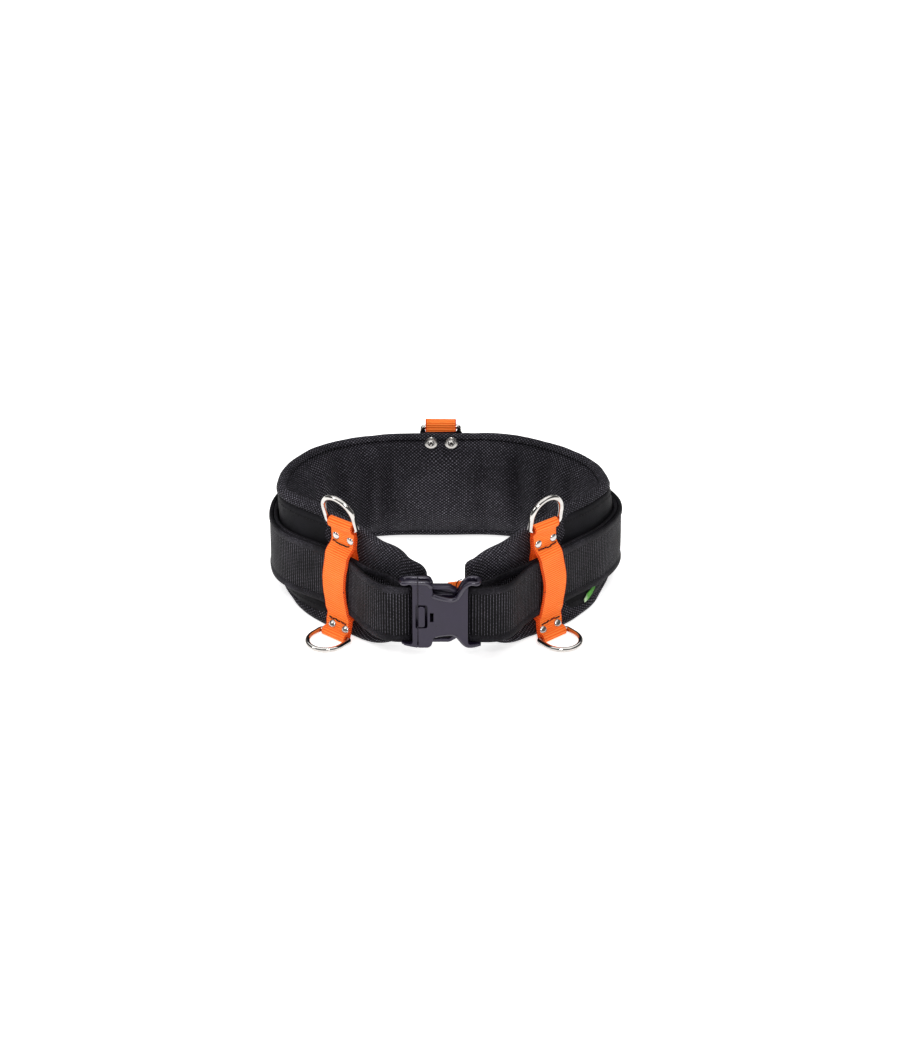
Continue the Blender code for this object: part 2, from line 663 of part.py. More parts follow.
def joined_frame(side, line, row, across):
    """Middle and outward axis of the joined layers at a row of their line."""
    points = np.array(line)
    tangent = np.gradient(points, axis=0)[row]
    low = strap_place(side, *(points[row] - tangent * 0.1), across)
    high = strap_place(side, *(points[row] + tangent * 0.1), across)
    along = (high - low).normalized()
    sideways = (strap_place(side, *points[row], across + 1) - strap_place(side, *points[row], across)).normalized()
    axis = sideways.cross(along).normalized()
    _, outward = strap_seat(side)
    if axis.dot(Vector((outward.x, outward.y, 0))) < 0:
        axis.negate()
    return strap_place(side, *points[row], across), axis


def rivet_places():
    """Name, strap, joined line, row and across place of every rivet."""
    for side in STRAPS:
        spread = BACK_RIVET_SPREAD if side == "back" else RIVET_SPREAD
        top = BACK_TOP if side == "back" else FRONT_TOP
        for label, line, row in (("top", top, 1), ("foot", FRONT_FOOT, 2)):
            for number, across in enumerate((-spread, spread), 1):
                yield f"{side}_{label}_rivet_{number}", side, label, line, row, across


def make_rivets(straps, pad, panel, patch, look, home, cutters):
    layers = 4 * STRAP_HALF + GAP
    body = layers + 3 * GAP
    for name, side, label, line, row, across in rivet_places():
        middle, axis = joined_frame(side, line, row, across)
        through_pad = side == "back" and label == "top"
        length = 8.0
        foot_radius = FOOT_RADIUS
        rivet_body, rivet_middle = body, middle
        if through_pad:
            foot_radius = WASHER_RADIUS
            reach = PATCH_THICK + PAD_RIM + 3 * GAP + 1.0
            rivet_body = body + reach + GAP
            rivet_middle = middle - axis * (reach + GAP) / 2 * MM
            length = 40.0
        hole = rod(name + "_hole", middle - axis * length / 2 * MM, axis, length, HOLE_RADIUS, None, cutters, 8)
        boolean(straps[side], hole, "DIFFERENCE")
        if through_pad:
            for piece in (pad, panel, patch):
                boolean(piece, hole, "DIFFERENCE")
            seat = middle - axis * (body / 2 + reach) * MM
            dimple = rod(name + "_dimple", seat, -axis, 20.0, WASHER_RADIUS + GAP, None, cutters, 12)
            boolean(pad, dimple, "DIFFERENCE")
        make_rivet(name, rivet_middle, axis, rivet_body, foot_radius, look, home)


def mirrored(rows):
    """Outline rows of a top half, followed by their mirror image below."""
    return list(rows) + [(x, -z, radius) for x, z, radius in rows[::-1]]


def make_buckle(look, button_look, home, cutters):
    half, inner = BUCKLE_HALF, EAR_INNER
    plug_rows = mirrored(((PLUG_EDGE, inner, 1.0), (PLUG_EDGE, half, 2.2), (SEAM[0], half, 0.8)))
    plug_rows = [(-25.0, inner, 1.0)] + plug_rows[0:6] + [(-25.0, -inner, 1.0)]
    plug = slab("buckle_plug", rounded_outline(plug_rows[::-1]), BUCKLE_FRONT, BUCKLE_BACK, look, home, 0.7)
    arm_rows = ((-23.0, 26.0, 0), (1.5, 26.0, 4.0), (7.6, 20.8, 2.0), (7.8, 18.0, 0.5), (5.2, 18.0, 0.5),
                (2.6, 20.6, 2.0), (-23.0, 20.6, 0))
    for way, label in ((1, "upper_arm"), (-1, "lower_arm")):
        rows = [(x, z * way, radius) for x, z, radius in arm_rows]
        boolean(plug, slab(label, rounded_outline(rows), *ARM_BAND, look, home, 0.5), "UNION")
    tongue_rows = mirrored(((-23.0, 8.4, 0), (4.0, 8.4, 2.0)))
    boolean(plug, slab("tongue", rounded_outline(tongue_rows), *ARM_BAND, look, home), "UNION")

    socket_rows = mirrored(((SEAM[1], half, 0.8), (-10.5, half, 3.0), (-8.0, WAIST_HALF, 4.0),
                            (8.6, WAIST_HALF, 4.0), (16.0, half, 4.0), (SOCKET_EDGE, half, 2.2),
                            (SOCKET_EDGE, inner, 1.0), (16.7, inner, 1.0)))
    socket = slab("buckle_socket", rounded_outline(socket_rows), BUCKLE_FRONT, BUCKLE_BACK, look, home, 0.7)
    for bar_x, piece in ((LEFT_BAR_X, plug), (RIGHT_BAR_X, socket)):
        foot = place(bar_x, BAR_Y, WEB_MIDDLE - half + 2)
        bar = rod("bar", foot, Vector((0, 0, 1)), 2 * half - 4, BAR_RADIUS, look, home)
        boolean(piece, bar, "UNION")

    for way, label in ((1, "upper"), (-1, "lower")):
        span = sorted((way * 20.2, way * 26.6))
        boolean(socket, box(label + "_channel", (-23, -7), CHANNEL_BAND, span, cutters), "DIFFERENCE")
    boolean(socket, box("tongue_channel", (-23, 5), CHANNEL_BAND, (-9.0, 9.0), cutters), "DIFFERENCE")
    recess_rows = mirrored(((-23.6, 10.8, 2.0), (-13.7, 10.8, 2.0)))
    recess = slab("button_recess", rounded_outline(recess_rows), BUCKLE_FRONT - 1, BUCKLE_FRONT + 1.4, None, cutters)
    for piece in (plug, socket):
        boolean(piece, recess, "DIFFERENCE")
    window = box("button_window", (-22.5, -15.6), (BUCKLE_FRONT - 1, 0), (-8.6, 8.6), cutters)
    boolean(socket, window, "DIFFERENCE")
    slot = box("front_slot", (-12.0, -9.6), (BUCKLE_FRONT - 1, BUCKLE_FRONT + 1.5), (-4.2, 3.8), cutters)
    boolean(socket, slot, "DIFFERENCE")
    button_rows = mirrored(((-21.1, 8.2, 1.4), (-16.0, 8.2, 1.4)))
    slab("buckle_button", rounded_outline(button_rows), BUCKLE_FRONT - 0.1, ARM_BAND[0] - GAP, button_look, home, 0.5)


def make_patch(look, home):
    """Black patch behind the back strap, on the pad's outer face, its top edge just above the rim."""
    line = plan_line(1.0)
    middle, _ = strap_seat("back")
    rings = []
    for across in np.linspace(-PATCH_HALF_WIDTH, PATCH_HALF_WIDTH, 7):
        i = int(np.argmin(np.abs(line["x"] - (middle.x + across)) + (line["y"] < 150) * 1000.0))
        face = line["point"][i] + line["inward"][i] * (line["pad"][i] - GAP)
        outer = face - line["inward"][i] * PATCH_THICK
        low, high = PATCH_HEIGHTS
        rings.append([place(*face, low), place(*outer, low), place(*outer, high), place(*face, high)])
    return loft("back_patch", rings, look, home)


def make_tags(green, orange, home):
    """The plain green tag low on the right of the pad, and the orange tab at the pad's right end."""
    at_rows = lengths_along(pad_rows()[:, :2])
    fine = np.arange(0.0, at_rows[-1])
    start = fine[int(np.argmin(np.linalg.norm(read_pad(fine)[0] - np.array(TAG_NEAR), axis=1)))]
    tag = []
    for along, low, high in TAG_ROWS:
        point, normal, values = (row[0] for row in read_pad(np.array([start - along])))
        flare, lean, bottom, top, _ = values
        rows = [(outer_face(height, bottom, top, flare, lean) - GAP, height) for height in (low, high)]
        outline = rows + [(depth - TAG_THICK, height) for depth, height in rows[::-1]]
        tag.append([place(*(point + normal * depth), height) for depth, height in outline])
    loft("side_tag", tag, green, home)
    slab("orange_tab", rounded_outline(TAB_CORNERS), *TAB_DEPTHS, orange, home, lift=0.0)


def main():
    for old in list(bpy.data.objects):
        bpy.data.objects.remove(old, do_unlink=True)
    belt = bpy.data.collections.new("d_ring_belt")
    cutters = bpy.data.collections.new("cutters")
    for collection in (belt, cutters):
        bpy.context.scene.collection.children.link(collection)

    black_mesh = material("black_spacer_mesh", (0.018, 0.018, 0.022), 0.8)
    black_cloth = material("black_nylon_cloth", (0.022, 0.022, 0.028), 0.6)
    black_web = material("black_belt_webbing", (0.020, 0.020, 0.024), 0.7)
    orange_web = material("orange_webbing", (1.0, 0.145, 0.014), 0.6)
    nickel = material("nickel_plated_steel", (0.80, 0.79, 0.77), 0.16, 1.0)
    acetal = material("black_acetal", (0.045, 0.043, 0.052), 0.45)
    green_web = material("green_webbing", (0.115, 0.52, 0.05), 0.6)

    make_webbing(black_web, belt)
    pad, panel = make_pad(black_mesh, black_cloth, belt)
    patch = make_patch(black_cloth, belt)
    straps = {side: make_strap(side, orange_web, belt) for side in STRAPS}
    make_rivets(straps, pad, panel, patch, nickel, belt, cutters)
    for side in STRAPS:
        top_bar = BACK_TOP_BAR if side == "back" else FRONT_TOP_BAR
        make_ring(side + "_top_ring", side, top_bar, RING_LEAN[side + "_top"], nickel, belt)
        make_ring(side + "_foot_ring", side, FRONT_FOOT_BAR, FOOT_RING_LEAN, nickel, belt)
    make_buckle(acetal, acetal, belt, cutters)
    make_tags(green_web, orange_web, belt)


main()
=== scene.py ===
"""Padded work belt with orange ring straps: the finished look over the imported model."""

import math

import bpy
import numpy as np
from mathutils import Matrix, Vector, noise


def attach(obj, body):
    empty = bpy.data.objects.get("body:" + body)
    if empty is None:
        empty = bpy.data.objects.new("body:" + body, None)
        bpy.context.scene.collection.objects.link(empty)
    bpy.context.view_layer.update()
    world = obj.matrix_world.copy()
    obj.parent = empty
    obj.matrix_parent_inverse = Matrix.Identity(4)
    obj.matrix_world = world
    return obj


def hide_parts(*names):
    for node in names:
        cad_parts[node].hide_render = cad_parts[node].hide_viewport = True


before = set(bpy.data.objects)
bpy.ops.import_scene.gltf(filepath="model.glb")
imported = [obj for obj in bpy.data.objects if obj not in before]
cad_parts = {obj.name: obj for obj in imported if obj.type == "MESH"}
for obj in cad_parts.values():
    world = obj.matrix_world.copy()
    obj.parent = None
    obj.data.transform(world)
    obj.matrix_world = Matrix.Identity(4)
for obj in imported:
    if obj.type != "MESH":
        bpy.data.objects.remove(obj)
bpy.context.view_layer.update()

# Lengths are in millimetres, and MM turns them to metres.
# The belt frame has X to the right, Y from the buckle to the back and Z up from the surface below.
MM = 0.001
FRAME_CENTRE = (0.57, 136.29)
WEB_WIDTH = 50.0
WEB_BOTTOM = 21.0
WEB_TOP = WEB_BOTTOM + WEB_WIDTH
WEB_MIDDLE = WEB_BOTTOM + WEB_WIDTH / 2

# One row per place round the belt, from the buckle's left bar round the back to its right bar
PLAN_COLUMNS = ("x", "y", "tail", "pad", "flare", "lean", "bottom", "top", "thick")
PLAN = (
    (-31.0, 1.1, 7.8, 16.5, 0, 0, 15, 86, 15),
    (-43.0, 2.0, 11.5, 17.5, 0, 0, 9, 91, 16),
    (-53.0, 7.5, 14.5, 18.5, 0, 0, 5, 92, 16),
    (-64.5, 21.0, 11.5, 16.0, 4, 0, 3, 93, 16),
    (-76.6, 42.4, 4.6, 11.5, 9.5, 0.5, 0, 94, 17),
    (-97.9, 65.0, 3.9, 9.6, 12, 3, 0, 96, 18),
    (-111.0, 75.5, 3.9, 7.2, 7, 8, 0, 97, 18),
    (-127.5, 89.5, 3.9, 6.2, -1, 9, 0, 97, 18),
    (-138.5, 105.0, 3.9, 6.2, -5, 6, 0, 97, 18),
    (-143.5, 122.0, 3.9, 6.2, -4, 0, 0, 97, 18),
    (-144.5, 138.0, 3.9, 6.2, -2, -1, 0, 97, 18),
    (-142.0, 158.0, 3.9, 6.2, 0, -1, 0, 97, 18),
    (-131.0, 185.5, 3.9, 6.0, 0, -1, 0, 97, 18),
    (-110.5, 209.5, 0, 4.0, 0, 0.5, 0, 97, 18),
    (-84.0, 224.0, 0, 2.8, 0, 1, 0, 97, 18),
    (-45.0, 233.5, 0, 2.8, 0, 0.5, 0, 97, 18),
    (-3.0, 237.0, 0, 5.8, 0, 0, 0, 97, 18),
    (42.0, 234.0, 0, 2.8, 0, 0, 0, 97, 18),
    (80.0, 223.5, 0, 2.8, 0, 2, 0, 97, 18),
    (106.0, 208.5, 0, 4.0, 0, 3, 0, 97, 18),
    (128.0, 187.0, 3.9, 6.0, 0, 2, 0, 97, 18),
    (141.8, 163.5, 3.9, 6.2, 0, 4, 0, 97, 18),
    (145.8, 144.5, 3.9, 6.2, -2, 4, 0, 97, 18),
    (143.9, 131.0, 3.9, 6.2, -3, 3, 0, 97, 18),
    (138.0, 116.0, 3.9, 6.2, -2, 5.5, 0, 97, 18),
    (127.5, 99.0, 3.9, 6.2, 3, 7, 0, 97, 18),
    (111.0, 81.0, 3.9, 7.2, 9, 7, 0, 97, 18),
    (95.0, 64.0, 3.9, 9.6, 13, 3, 0, 96, 18),
    (71.5, 38.5, 4.6, 11.5, 8.5, 0.5, 1, 94, 17),
    (60.0, 20.0, 11.5, 16.0, 4, 0, 4, 92.5, 16),
    (50.0, 6.0, 14.5, 18.5, 0, 0, 6, 91, 16),
    (40.5, 1.2, 12.5, 18.5, 0, 0, 10, 88, 16),
    (22.7, 1.1, 7.8, 16.5, 0, 0, 15, 84.5, 15),
)
LEFT_TAIL_ROWS = (0, 12)
RIGHT_TAIL_ROWS = (20, 32)
LEFT_END = ((-13.5, 19.2, 0, 0, 19, 75, 12), (-21.5, 18.0, 0, 0, 17, 80.5, 14))
RIGHT_END = ((14.5, 18.5, 0, 0, 18, 82, 13),)

# Webbing, how wide its bound edges are, and the two buckle bars that it folds round
BOUND_EDGE = 6.4
FOLD_RADIUS = 3.9
LEFT_BAR_X = -31.0
RIGHT_BAR_X = 22.7
BAR_Y = 5.0
BAR_RADIUS = 1.8

# Pad
RIM = 8.0
RIM_RADIUS = 4.0
END_ROUND = 6.5
PANEL_RECESS = 1.8
# How far from the pad's ends the bare mesh stops and the outer cloth starts, and how far the cloth stays from the rims
BARE_END = 118.0
BARE_BLEND = 12.0
PANEL_START = 100.0
PANEL_INSET = 7.6
# Share of the way round the pad, depth in mm and half-width in mm of each upright channel in the foam
CHANNELS = ((0.190, 4.0, 5.0), (0.245, 4.0, 5.0), (0.322, 4.0, 6.0), (0.369, 6.5, 5.0), (0.404, 11.0, 5.5),
            (0.434, 7.0, 5.5), (0.548, 5.0, 6.0), (0.593, 10.0, 5.5), (0.636, 6.5, 5.0), (0.678, 4.5, 5.0),
            (0.755, 4.0, 5.0), (0.810, 4.0, 5.0))

# Orange straps: middle of the joined layers, out from the webbing and height
GAP = 0.35
STRAP_HALF = 0.75
STRAP_WIDTH = 26.0
JOINED = STRAP_HALF + GAP / 2
OUTSIDE = 1.7 + GAP + STRAP_HALF + 0.5
BEHIND_WEB = -(OUTSIDE + 0.5)
BEHIND_TAIL = -(OUTSIDE + 4.8)
FRONT_TOP = ((-3.8, 81.0), (-3.8, 85.5), (-3.2, 90.0), (-1.6, 94.5))
FRONT_FOOT = ((2.0, 16.5), (3.0, 14.2), (5.1, 10.6), (7.2, 7.0))
BACK_TOP = ((-1.2, 82.0), (-1.2, 88.0), (-1.2, 94.0))
FRONT_TOP_BAR = (-0.2, 98.8)
FRONT_TOP_FOLDS = {"left": (0.2, 100.4), "right": (-0.1, 99.0)}
FRONT_FOOT_BAR = (10.6, 4.0)
BACK_TOP_BAR = (1.0, 98.0)
BACK_TOP_FOLD = (1.2, 101.2)
STRAPS = {
    "left": {"near": (-87.5, 55.0), "stand_off": 0.8, "top_turn": 6.0, "foot_turn": 4.0,
             "top_slide": 7.0, "foot_slide": 8.0, "bow": 1.6, "skew": 0.0},
    "right": {"near": (87.0, 55.5), "stand_off": 0.0, "top_turn": -6.0, "foot_turn": -4.0,
              "top_slide": 9.0, "foot_slide": 9.0, "bow": 2.3, "skew": 0.0},
    "back": {"near": (-4.0, 237.0), "stand_off": 0.0, "top_turn": 0.0, "foot_turn": 0.0,
             "top_slide": 0.0, "foot_slide": 0.0, "bow": 0.0, "skew": 0.02},
}

RING_WIRE = 2.15
RING_HALF_WIDTH = 15.8
RING_LEG = {"left_top": 13.2, "right_top": 10.6, "back_top": 11.5}
FOOT_RING_LEG = 10.4
RING_CORNER = 2.6
RING_LEAN = {"left_top": 18.0, "right_top": 9.0, "back_top": 162.0}
FOOT_LEAN = 93.2


# ---------- shapes in plan ----------

def spline(knots, rows, at):
    """Natural cubic spline through one row of values per knot, read at each place in at."""
    knots, rows, at = (np.asarray(item, float) for item in (knots, rows, at))
    step = np.diff(knots)[:, None]
    left = np.eye(len(knots))
    right = np.zeros_like(rows)
    slope = np.diff(rows, axis=0) / step
    for i in range(1, len(knots) - 1):
        left[i, i - 1:i + 2] = step[i - 1, 0], 2 * (step[i - 1, 0] + step[i, 0]), step[i, 0]
        right[i] = 6 * (slope[i] - slope[i - 1])
    bend = np.linalg.solve(left, right)
    i = np.clip(np.searchsorted(knots, at) - 1, 0, len(knots) - 2)
    b = ((at - knots[i]) / step[i, 0])[:, None]
    a = 1 - b
    h = step[i]
    return a * rows[i] + b * rows[i + 1] + h * h / 6 * ((a**3 - a) * bend[i] + (b**3 - b) * bend[i + 1])


def lengths_along(points):
    return np.concatenate([[0.0], np.cumsum(np.linalg.norm(np.diff(points, axis=0), axis=1))])


def evened(points, spacing, closed=False):
    """The line through points, smoothed, with even steps."""
    points = np.asarray(points, float)
    if closed:
        wrap = 4
        points = np.concatenate([points[-wrap:], points, points[:wrap + 1]])
    at = lengths_along(points)
    start, end = (at[wrap], at[-wrap - 1]) if closed else (0.0, at[-1])
    count = int(round((end - start) / spacing)) + 1
    return spline(at, points, np.linspace(start, end, count))


def side_normals(points, closed=False):
    """Unit normals, 90 degrees to the left of travel, of a line in the plane."""
    if closed:
        tangent = np.roll(points, -1, axis=0) - np.roll(points, 1, axis=0)
    else:
        tangent = np.gradient(points, axis=0)
    tangent /= np.linalg.norm(tangent, axis=1)[:, None]
    return np.stack([-tangent[:, 1], tangent[:, 0]], axis=1)


def place(x, y, z):
    return Vector(((x - FRAME_CENTRE[0]) * MM, (y - FRAME_CENTRE[1]) * MM, z * MM))


def read_plan(at):
    rows = np.array(PLAN, float)
    at_rows = lengths_along(rows[:, :2])
    values = spline(at_rows, rows, at)
    line = {name: values[:, i] for i, name in enumerate(PLAN_COLUMNS)}
    line["values"] = values
    line["point"] = values[:, :2]
    step = 0.5
    ahead = spline(at_rows, rows[:, :2], np.minimum(at + step, at_rows[-1]))
    behind = spline(at_rows, rows[:, :2], np.maximum(at - step, 0))
    travel = (ahead - behind) / np.linalg.norm(ahead - behind, axis=1)[:, None]
    line["inward"] = np.stack([travel[:, 1], -travel[:, 0]], axis=1)
    return line


def plan_line(spacing, first_row=0, last_row=-1):
    at_rows = lengths_along(np.array(PLAN, float)[:, :2])
    start, end = at_rows[first_row], at_rows[last_row]
    return read_plan(np.linspace(start, end, int(round((end - start) / spacing)) + 1))


# ---------- making pieces ----------

def none_selected():
    if bpy.context.object and bpy.context.object.mode != "OBJECT":
        bpy.ops.object.mode_set(mode="OBJECT")
    bpy.ops.object.select_all(action="DESELECT")


def only(piece):
    """Select this piece alone and make it active."""
    none_selected()
    piece.select_set(True)
    bpy.context.view_layer.objects.active = piece


def linked(name, data):
    """A new object in the scene that holds this curve, mesh, lamp or lens."""
    piece = bpy.data.objects.new(name, data)
    bpy.context.scene.collection.objects.link(piece)
    return piece


def grid_piece(name, points, uv, wrap=False, caps=False):
    """A grid primitive laid along rows of points, with a UV map in millimetres; wrap joins its sides to a tube."""
    rows, columns = points.shape[:2]
    none_selected()
    bpy.ops.mesh.primitive_grid_add(x_subdivisions=columns - 1, y_subdivisions=rows - 1, size=0.01, calc_uvs=True)
    piece = bpy.context.object
    piece.name = piece.data.name = name
    mesh = piece.data
    mesh.vertices.foreach_set("co", np.ascontiguousarray(points, float).reshape(-1))
    corners = np.empty(len(mesh.loops), int)
    mesh.loops.foreach_get("vertex_index", corners)
    mesh.uv_layers.active.data.foreach_set("uv", uv.reshape(-1, 2)[corners].reshape(-1))
    mesh.update()
    bpy.ops.object.mode_set(mode="EDIT")
    bpy.ops.mesh.select_all(action="SELECT")
    if wrap:
        bpy.ops.mesh.remove_doubles(threshold=0.000002)
    if caps:
        bpy.ops.mesh.select_all(action="DESELECT")
        bpy.ops.mesh.select_non_manifold()
        bpy.ops.mesh.fill_holes(sides=0)
        bpy.ops.mesh.select_all(action="SELECT")
    bpy.ops.mesh.normals_make_consistent(inside=False)
    bpy.ops.object.mode_set(mode="OBJECT")
    bpy.ops.object.shade_smooth()
    return piece


def applied(piece, kind, **settings):
    """Add a modifier to a piece and apply it."""
    only(piece)
    modifier = piece.modifiers.new(kind.lower(), kind)
    for key, value in settings.items():
        setattr(modifier, key, value)
    bpy.ops.object.modifier_apply(modifier=modifier.name)


def joined(name, pieces):
    """Several pieces made one."""
    only(pieces[0])
    for other in pieces[1:]:
        other.select_set(True)
    if len(pieces) > 1:
        bpy.ops.object.join()
    whole = bpy.context.object
    whole.name = whole.data.name = name
    return whole


def tube(name, points, radius, sides=12, closed=False, taper=None):
    """A round bar through points in metres; taper is a share of the radius for each point."""
    none_selected()
    curve = bpy.data.curves.new(name, "CURVE")
    curve.dimensions = "3D"
    curve.bevel_depth = radius * MM
    curve.bevel_resolution = max(0, sides // 4 - 1)
    curve.use_fill_caps = not closed
    line = curve.splines.new("POLY")
    line.points.add(len(points) - 1)
    for i, (spot, point) in enumerate(zip(line.points, points)):
        spot.co = (*point, 1)
        spot.radius = 1.0 if taper is None else taper[i]
    line.use_cyclic_u = closed
    only(linked(name, curve))
    bpy.ops.object.convert(target="MESH")
    piece = bpy.context.object
    piece.name = piece.data.name = name
    bpy.ops.object.shade_smooth()
    return piece


def stitches(name, seam, every, length, thick, up):
    """A row of thread stitches along a line of points in metres; every, length and thick are in millimetres."""
    at = lengths_along(seam) / MM
    count = max(1, int(at[-1] / every))
    none_selected()
    bpy.ops.mesh.primitive_ico_sphere_add(subdivisions=1, radius=0.5)
    bead = bpy.context.object
    verts = np.array([v.co[:] for v in bead.data.vertices])
    faces = np.array([p.vertices[:] for p in bead.data.polygons])
    bpy.data.objects.remove(bead, do_unlink=True)
    all_verts, all_faces = [], []
    for k in range(count):
        middle = (k + 0.5) * every
        i = min(int(np.searchsorted(at, middle)), len(at) - 1)
        low = max(i - 1, 0)
        share = (middle - at[low]) / max(at[i] - at[low], 1e-9)
        spot = seam[low] * (1 - share) + seam[i] * share
        along = seam[i] - seam[low]
        along /= np.linalg.norm(along)
        out = up[i] / np.linalg.norm(up[i])
        side = np.cross(along, out)
        basis = np.stack([along * length, side * thick, out * thick * 0.8], axis=0) * MM
        all_faces.append(faces + len(verts) * k)
        all_verts.append(verts @ basis + spot)
    mesh = bpy.data.meshes.new(name)
    mesh.from_pydata(np.concatenate(all_verts).tolist(), [], np.concatenate(all_faces).tolist())
    piece = linked(name, mesh)
    only(piece)
    bpy.ops.object.shade_smooth()
    return piece


def finished(piece, body, look, slot, *nodes):
    """Give a piece its material and the body that it rides on, and hide the CAD nodes that it stands for."""
    piece.data.materials.clear()
    piece.data.materials.append(look)
    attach(piece, body)
    if nodes:
        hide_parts(*nodes)
    return piece


# ---------- materials ----------

def linear(hex_colour):
    """sRGB hex to linear RGBA."""
    values = [int(hex_colour[i:i + 2], 16) / 255 for i in (0, 2, 4)]
    return (*[v / 12.92 if v <= 0.04045 else ((v + 0.055) / 1.055)**2.4 for v in values], 1.0)


MATH, NOISE, RAMP, MIX, BUMP = ("ShaderNode" + kind for kind in ("Math", "TexNoise", "ValToRGB", "Mix", "Bump"))


def add(tree, kind, *given, **settings):
    """Add a node, or take one that is there, and give it its settings and links.

    What is given goes to the inputs by place, and a setting to the property or input of its name, with _ for
    spaces, or in6 for the input at place 6. A socket, or a node's first output, is linked, and the rest is set.
    """
    node = tree.nodes.new(kind) if isinstance(kind, str) else kind
    pairs = [(f"in{place}", value) for place, value in enumerate(given)] + list(settings.items())
    for key, value in sorted(pairs, key=lambda pair: not hasattr(node, pair[0])):
        if key == "stops":
            band = node.color_ramp
            while len(band.elements) < len(value):
                band.elements.new(0.5)
            for element, (position, colour) in zip(band.elements, value):
                element.position = position
                element.color = linear(colour)
        elif hasattr(node, key):
            setattr(node, key, value)
        else:
            socket = node.inputs[int(key[2:]) if key[:2] == "in" and key[2:].isdigit() else key.replace("_", " ")]
            if isinstance(value, bpy.types.Node):
                value = value.outputs[0]
            if isinstance(value, bpy.types.NodeSocket):
                tree.links.new(value, socket)
            else:
                socket.default_value = value
    return node


def new_material(name, roughness, metallic=0.0, **sockets):
    """A material with its Principled shader and the plain numbers on its own sockets."""
    made = bpy.data.materials.new(name)
    made.use_nodes = True
    tree = made.node_tree
    return made, tree, add(tree, tree.nodes["Principled BSDF"], Roughness=roughness, Metallic=metallic, **sockets)


def uv_axes(tree):
    """The piece's UV map in millimetres, as two numbers, and its Object coordinates."""
    coords = add(tree, "ShaderNodeTexCoord")
    split = add(tree, "ShaderNodeSeparateXYZ", coords.outputs["UV"])
    return split.outputs[0], split.outputs[1], coords.outputs["Object"]


def wave(tree, axis, pitch):
    """Cosine of a length in millimetres, once per pitch."""
    angle = add(tree, MATH, axis, 2 * math.pi / pitch, operation="MULTIPLY")
    return add(tree, MATH, angle, operation="COSINE")


def plain_weave(tree, along, up, pitch):
    """Threads that cross on the slant, over and under, once per pitch."""
    rising = wave(tree, add(tree, MATH, along, up, operation="ADD"), pitch)
    falling = wave(tree, add(tree, MATH, along, up, operation="SUBTRACT"), pitch)
    return add(tree, MATH, rising, falling, operation="MULTIPLY")


def uneven(tree, tone, cloudy, share):
    """A tone made lighter and darker by a share of a noise."""
    centred = add(tree, MATH, cloudy, 0.5, operation="SUBTRACT")
    return add(tree, MATH, centred, share, tone, operation="MULTIPLY_ADD")


def spacer_mesh_material():
    """Polyester air mesh, warp knitted: dull black strands round staggered eyelets, with painted glints on the strands
    and painted shade in the eyelets.
    """
    made, tree, shader = new_material("polyester_air_mesh", 0.7, Specular_IOR_Level=0.15)
    along, up, spot = uv_axes(tree)
    # Eyelets about 1.8 mm apart in staggered rows, drawn at 2.8 mm so that they show
    lattice = add(tree, MATH, wave(tree, along, 3.3), wave(tree, up, 2.8), operation="MULTIPLY")
    fibre = add(tree, NOISE, spot, Scale=1100.0, Detail=3.0)
    patch = add(tree, NOISE, spot, Scale=22.0, Detail=2.0)
    strands = uneven(tree, lattice, fibre, 2.4)
    level = add(tree, MATH, strands, 0.42, 0.45, operation="MULTIPLY_ADD")
    # Painted light: the light stops are painted glints on the strands, and the near-black stop is painted shade in the
    # eyelets
    shade = add(tree, RAMP, level, stops=((0.0, "96939e"), (0.15, "49474f"), (0.42, "2d2b32"), (0.62, "1a191d"),
                                          (0.78, "010101")))
    blotches = add(tree, RAMP, patch, stops=((0.3, "8c8c92"), (0.7, "ffffff")))
    mottled = add(tree, MIX, 0.7, in6=shade, in7=blotches, data_type="RGBA", blend_type="MULTIPLY")
    relief = add(tree, MATH, strands, -1.0, operation="MULTIPLY")
    add(tree, shader, Base_Color=mottled.outputs[2],
        Normal=add(tree, BUMP, Height=relief, Distance=0.5 * MM, Strength=1.0))
    return made


def nylon_cloth_material():
    """Coated nylon pack cloth, plain woven: near black and even, with a fine thread grain."""
    made, tree, shader = new_material("coated_nylon_cloth", 0.6, Specular_IOR_Level=0.14)
    along, up, spot = uv_axes(tree)
    # Threads are 0.4 mm apart, drawn at 1.5 mm so that they show
    grain = plain_weave(tree, along, up, 1.5)
    soft = add(tree, NOISE, spot, Scale=60.0, Detail=4.0)
    tone = add(tree, MATH, grain, 0.15, soft, operation="MULTIPLY_ADD")
    relief = add(tree, MATH, soft, 1.5, grain, operation="MULTIPLY_ADD")
    add(tree, shader, Base_Color=add(tree, RAMP, tone, stops=((0.2, "0b0b0d"), (0.8, "1a191e"))),
        Normal=add(tree, BUMP, Height=relief, Distance=0.1 * MM, Strength=1.0))
    return made


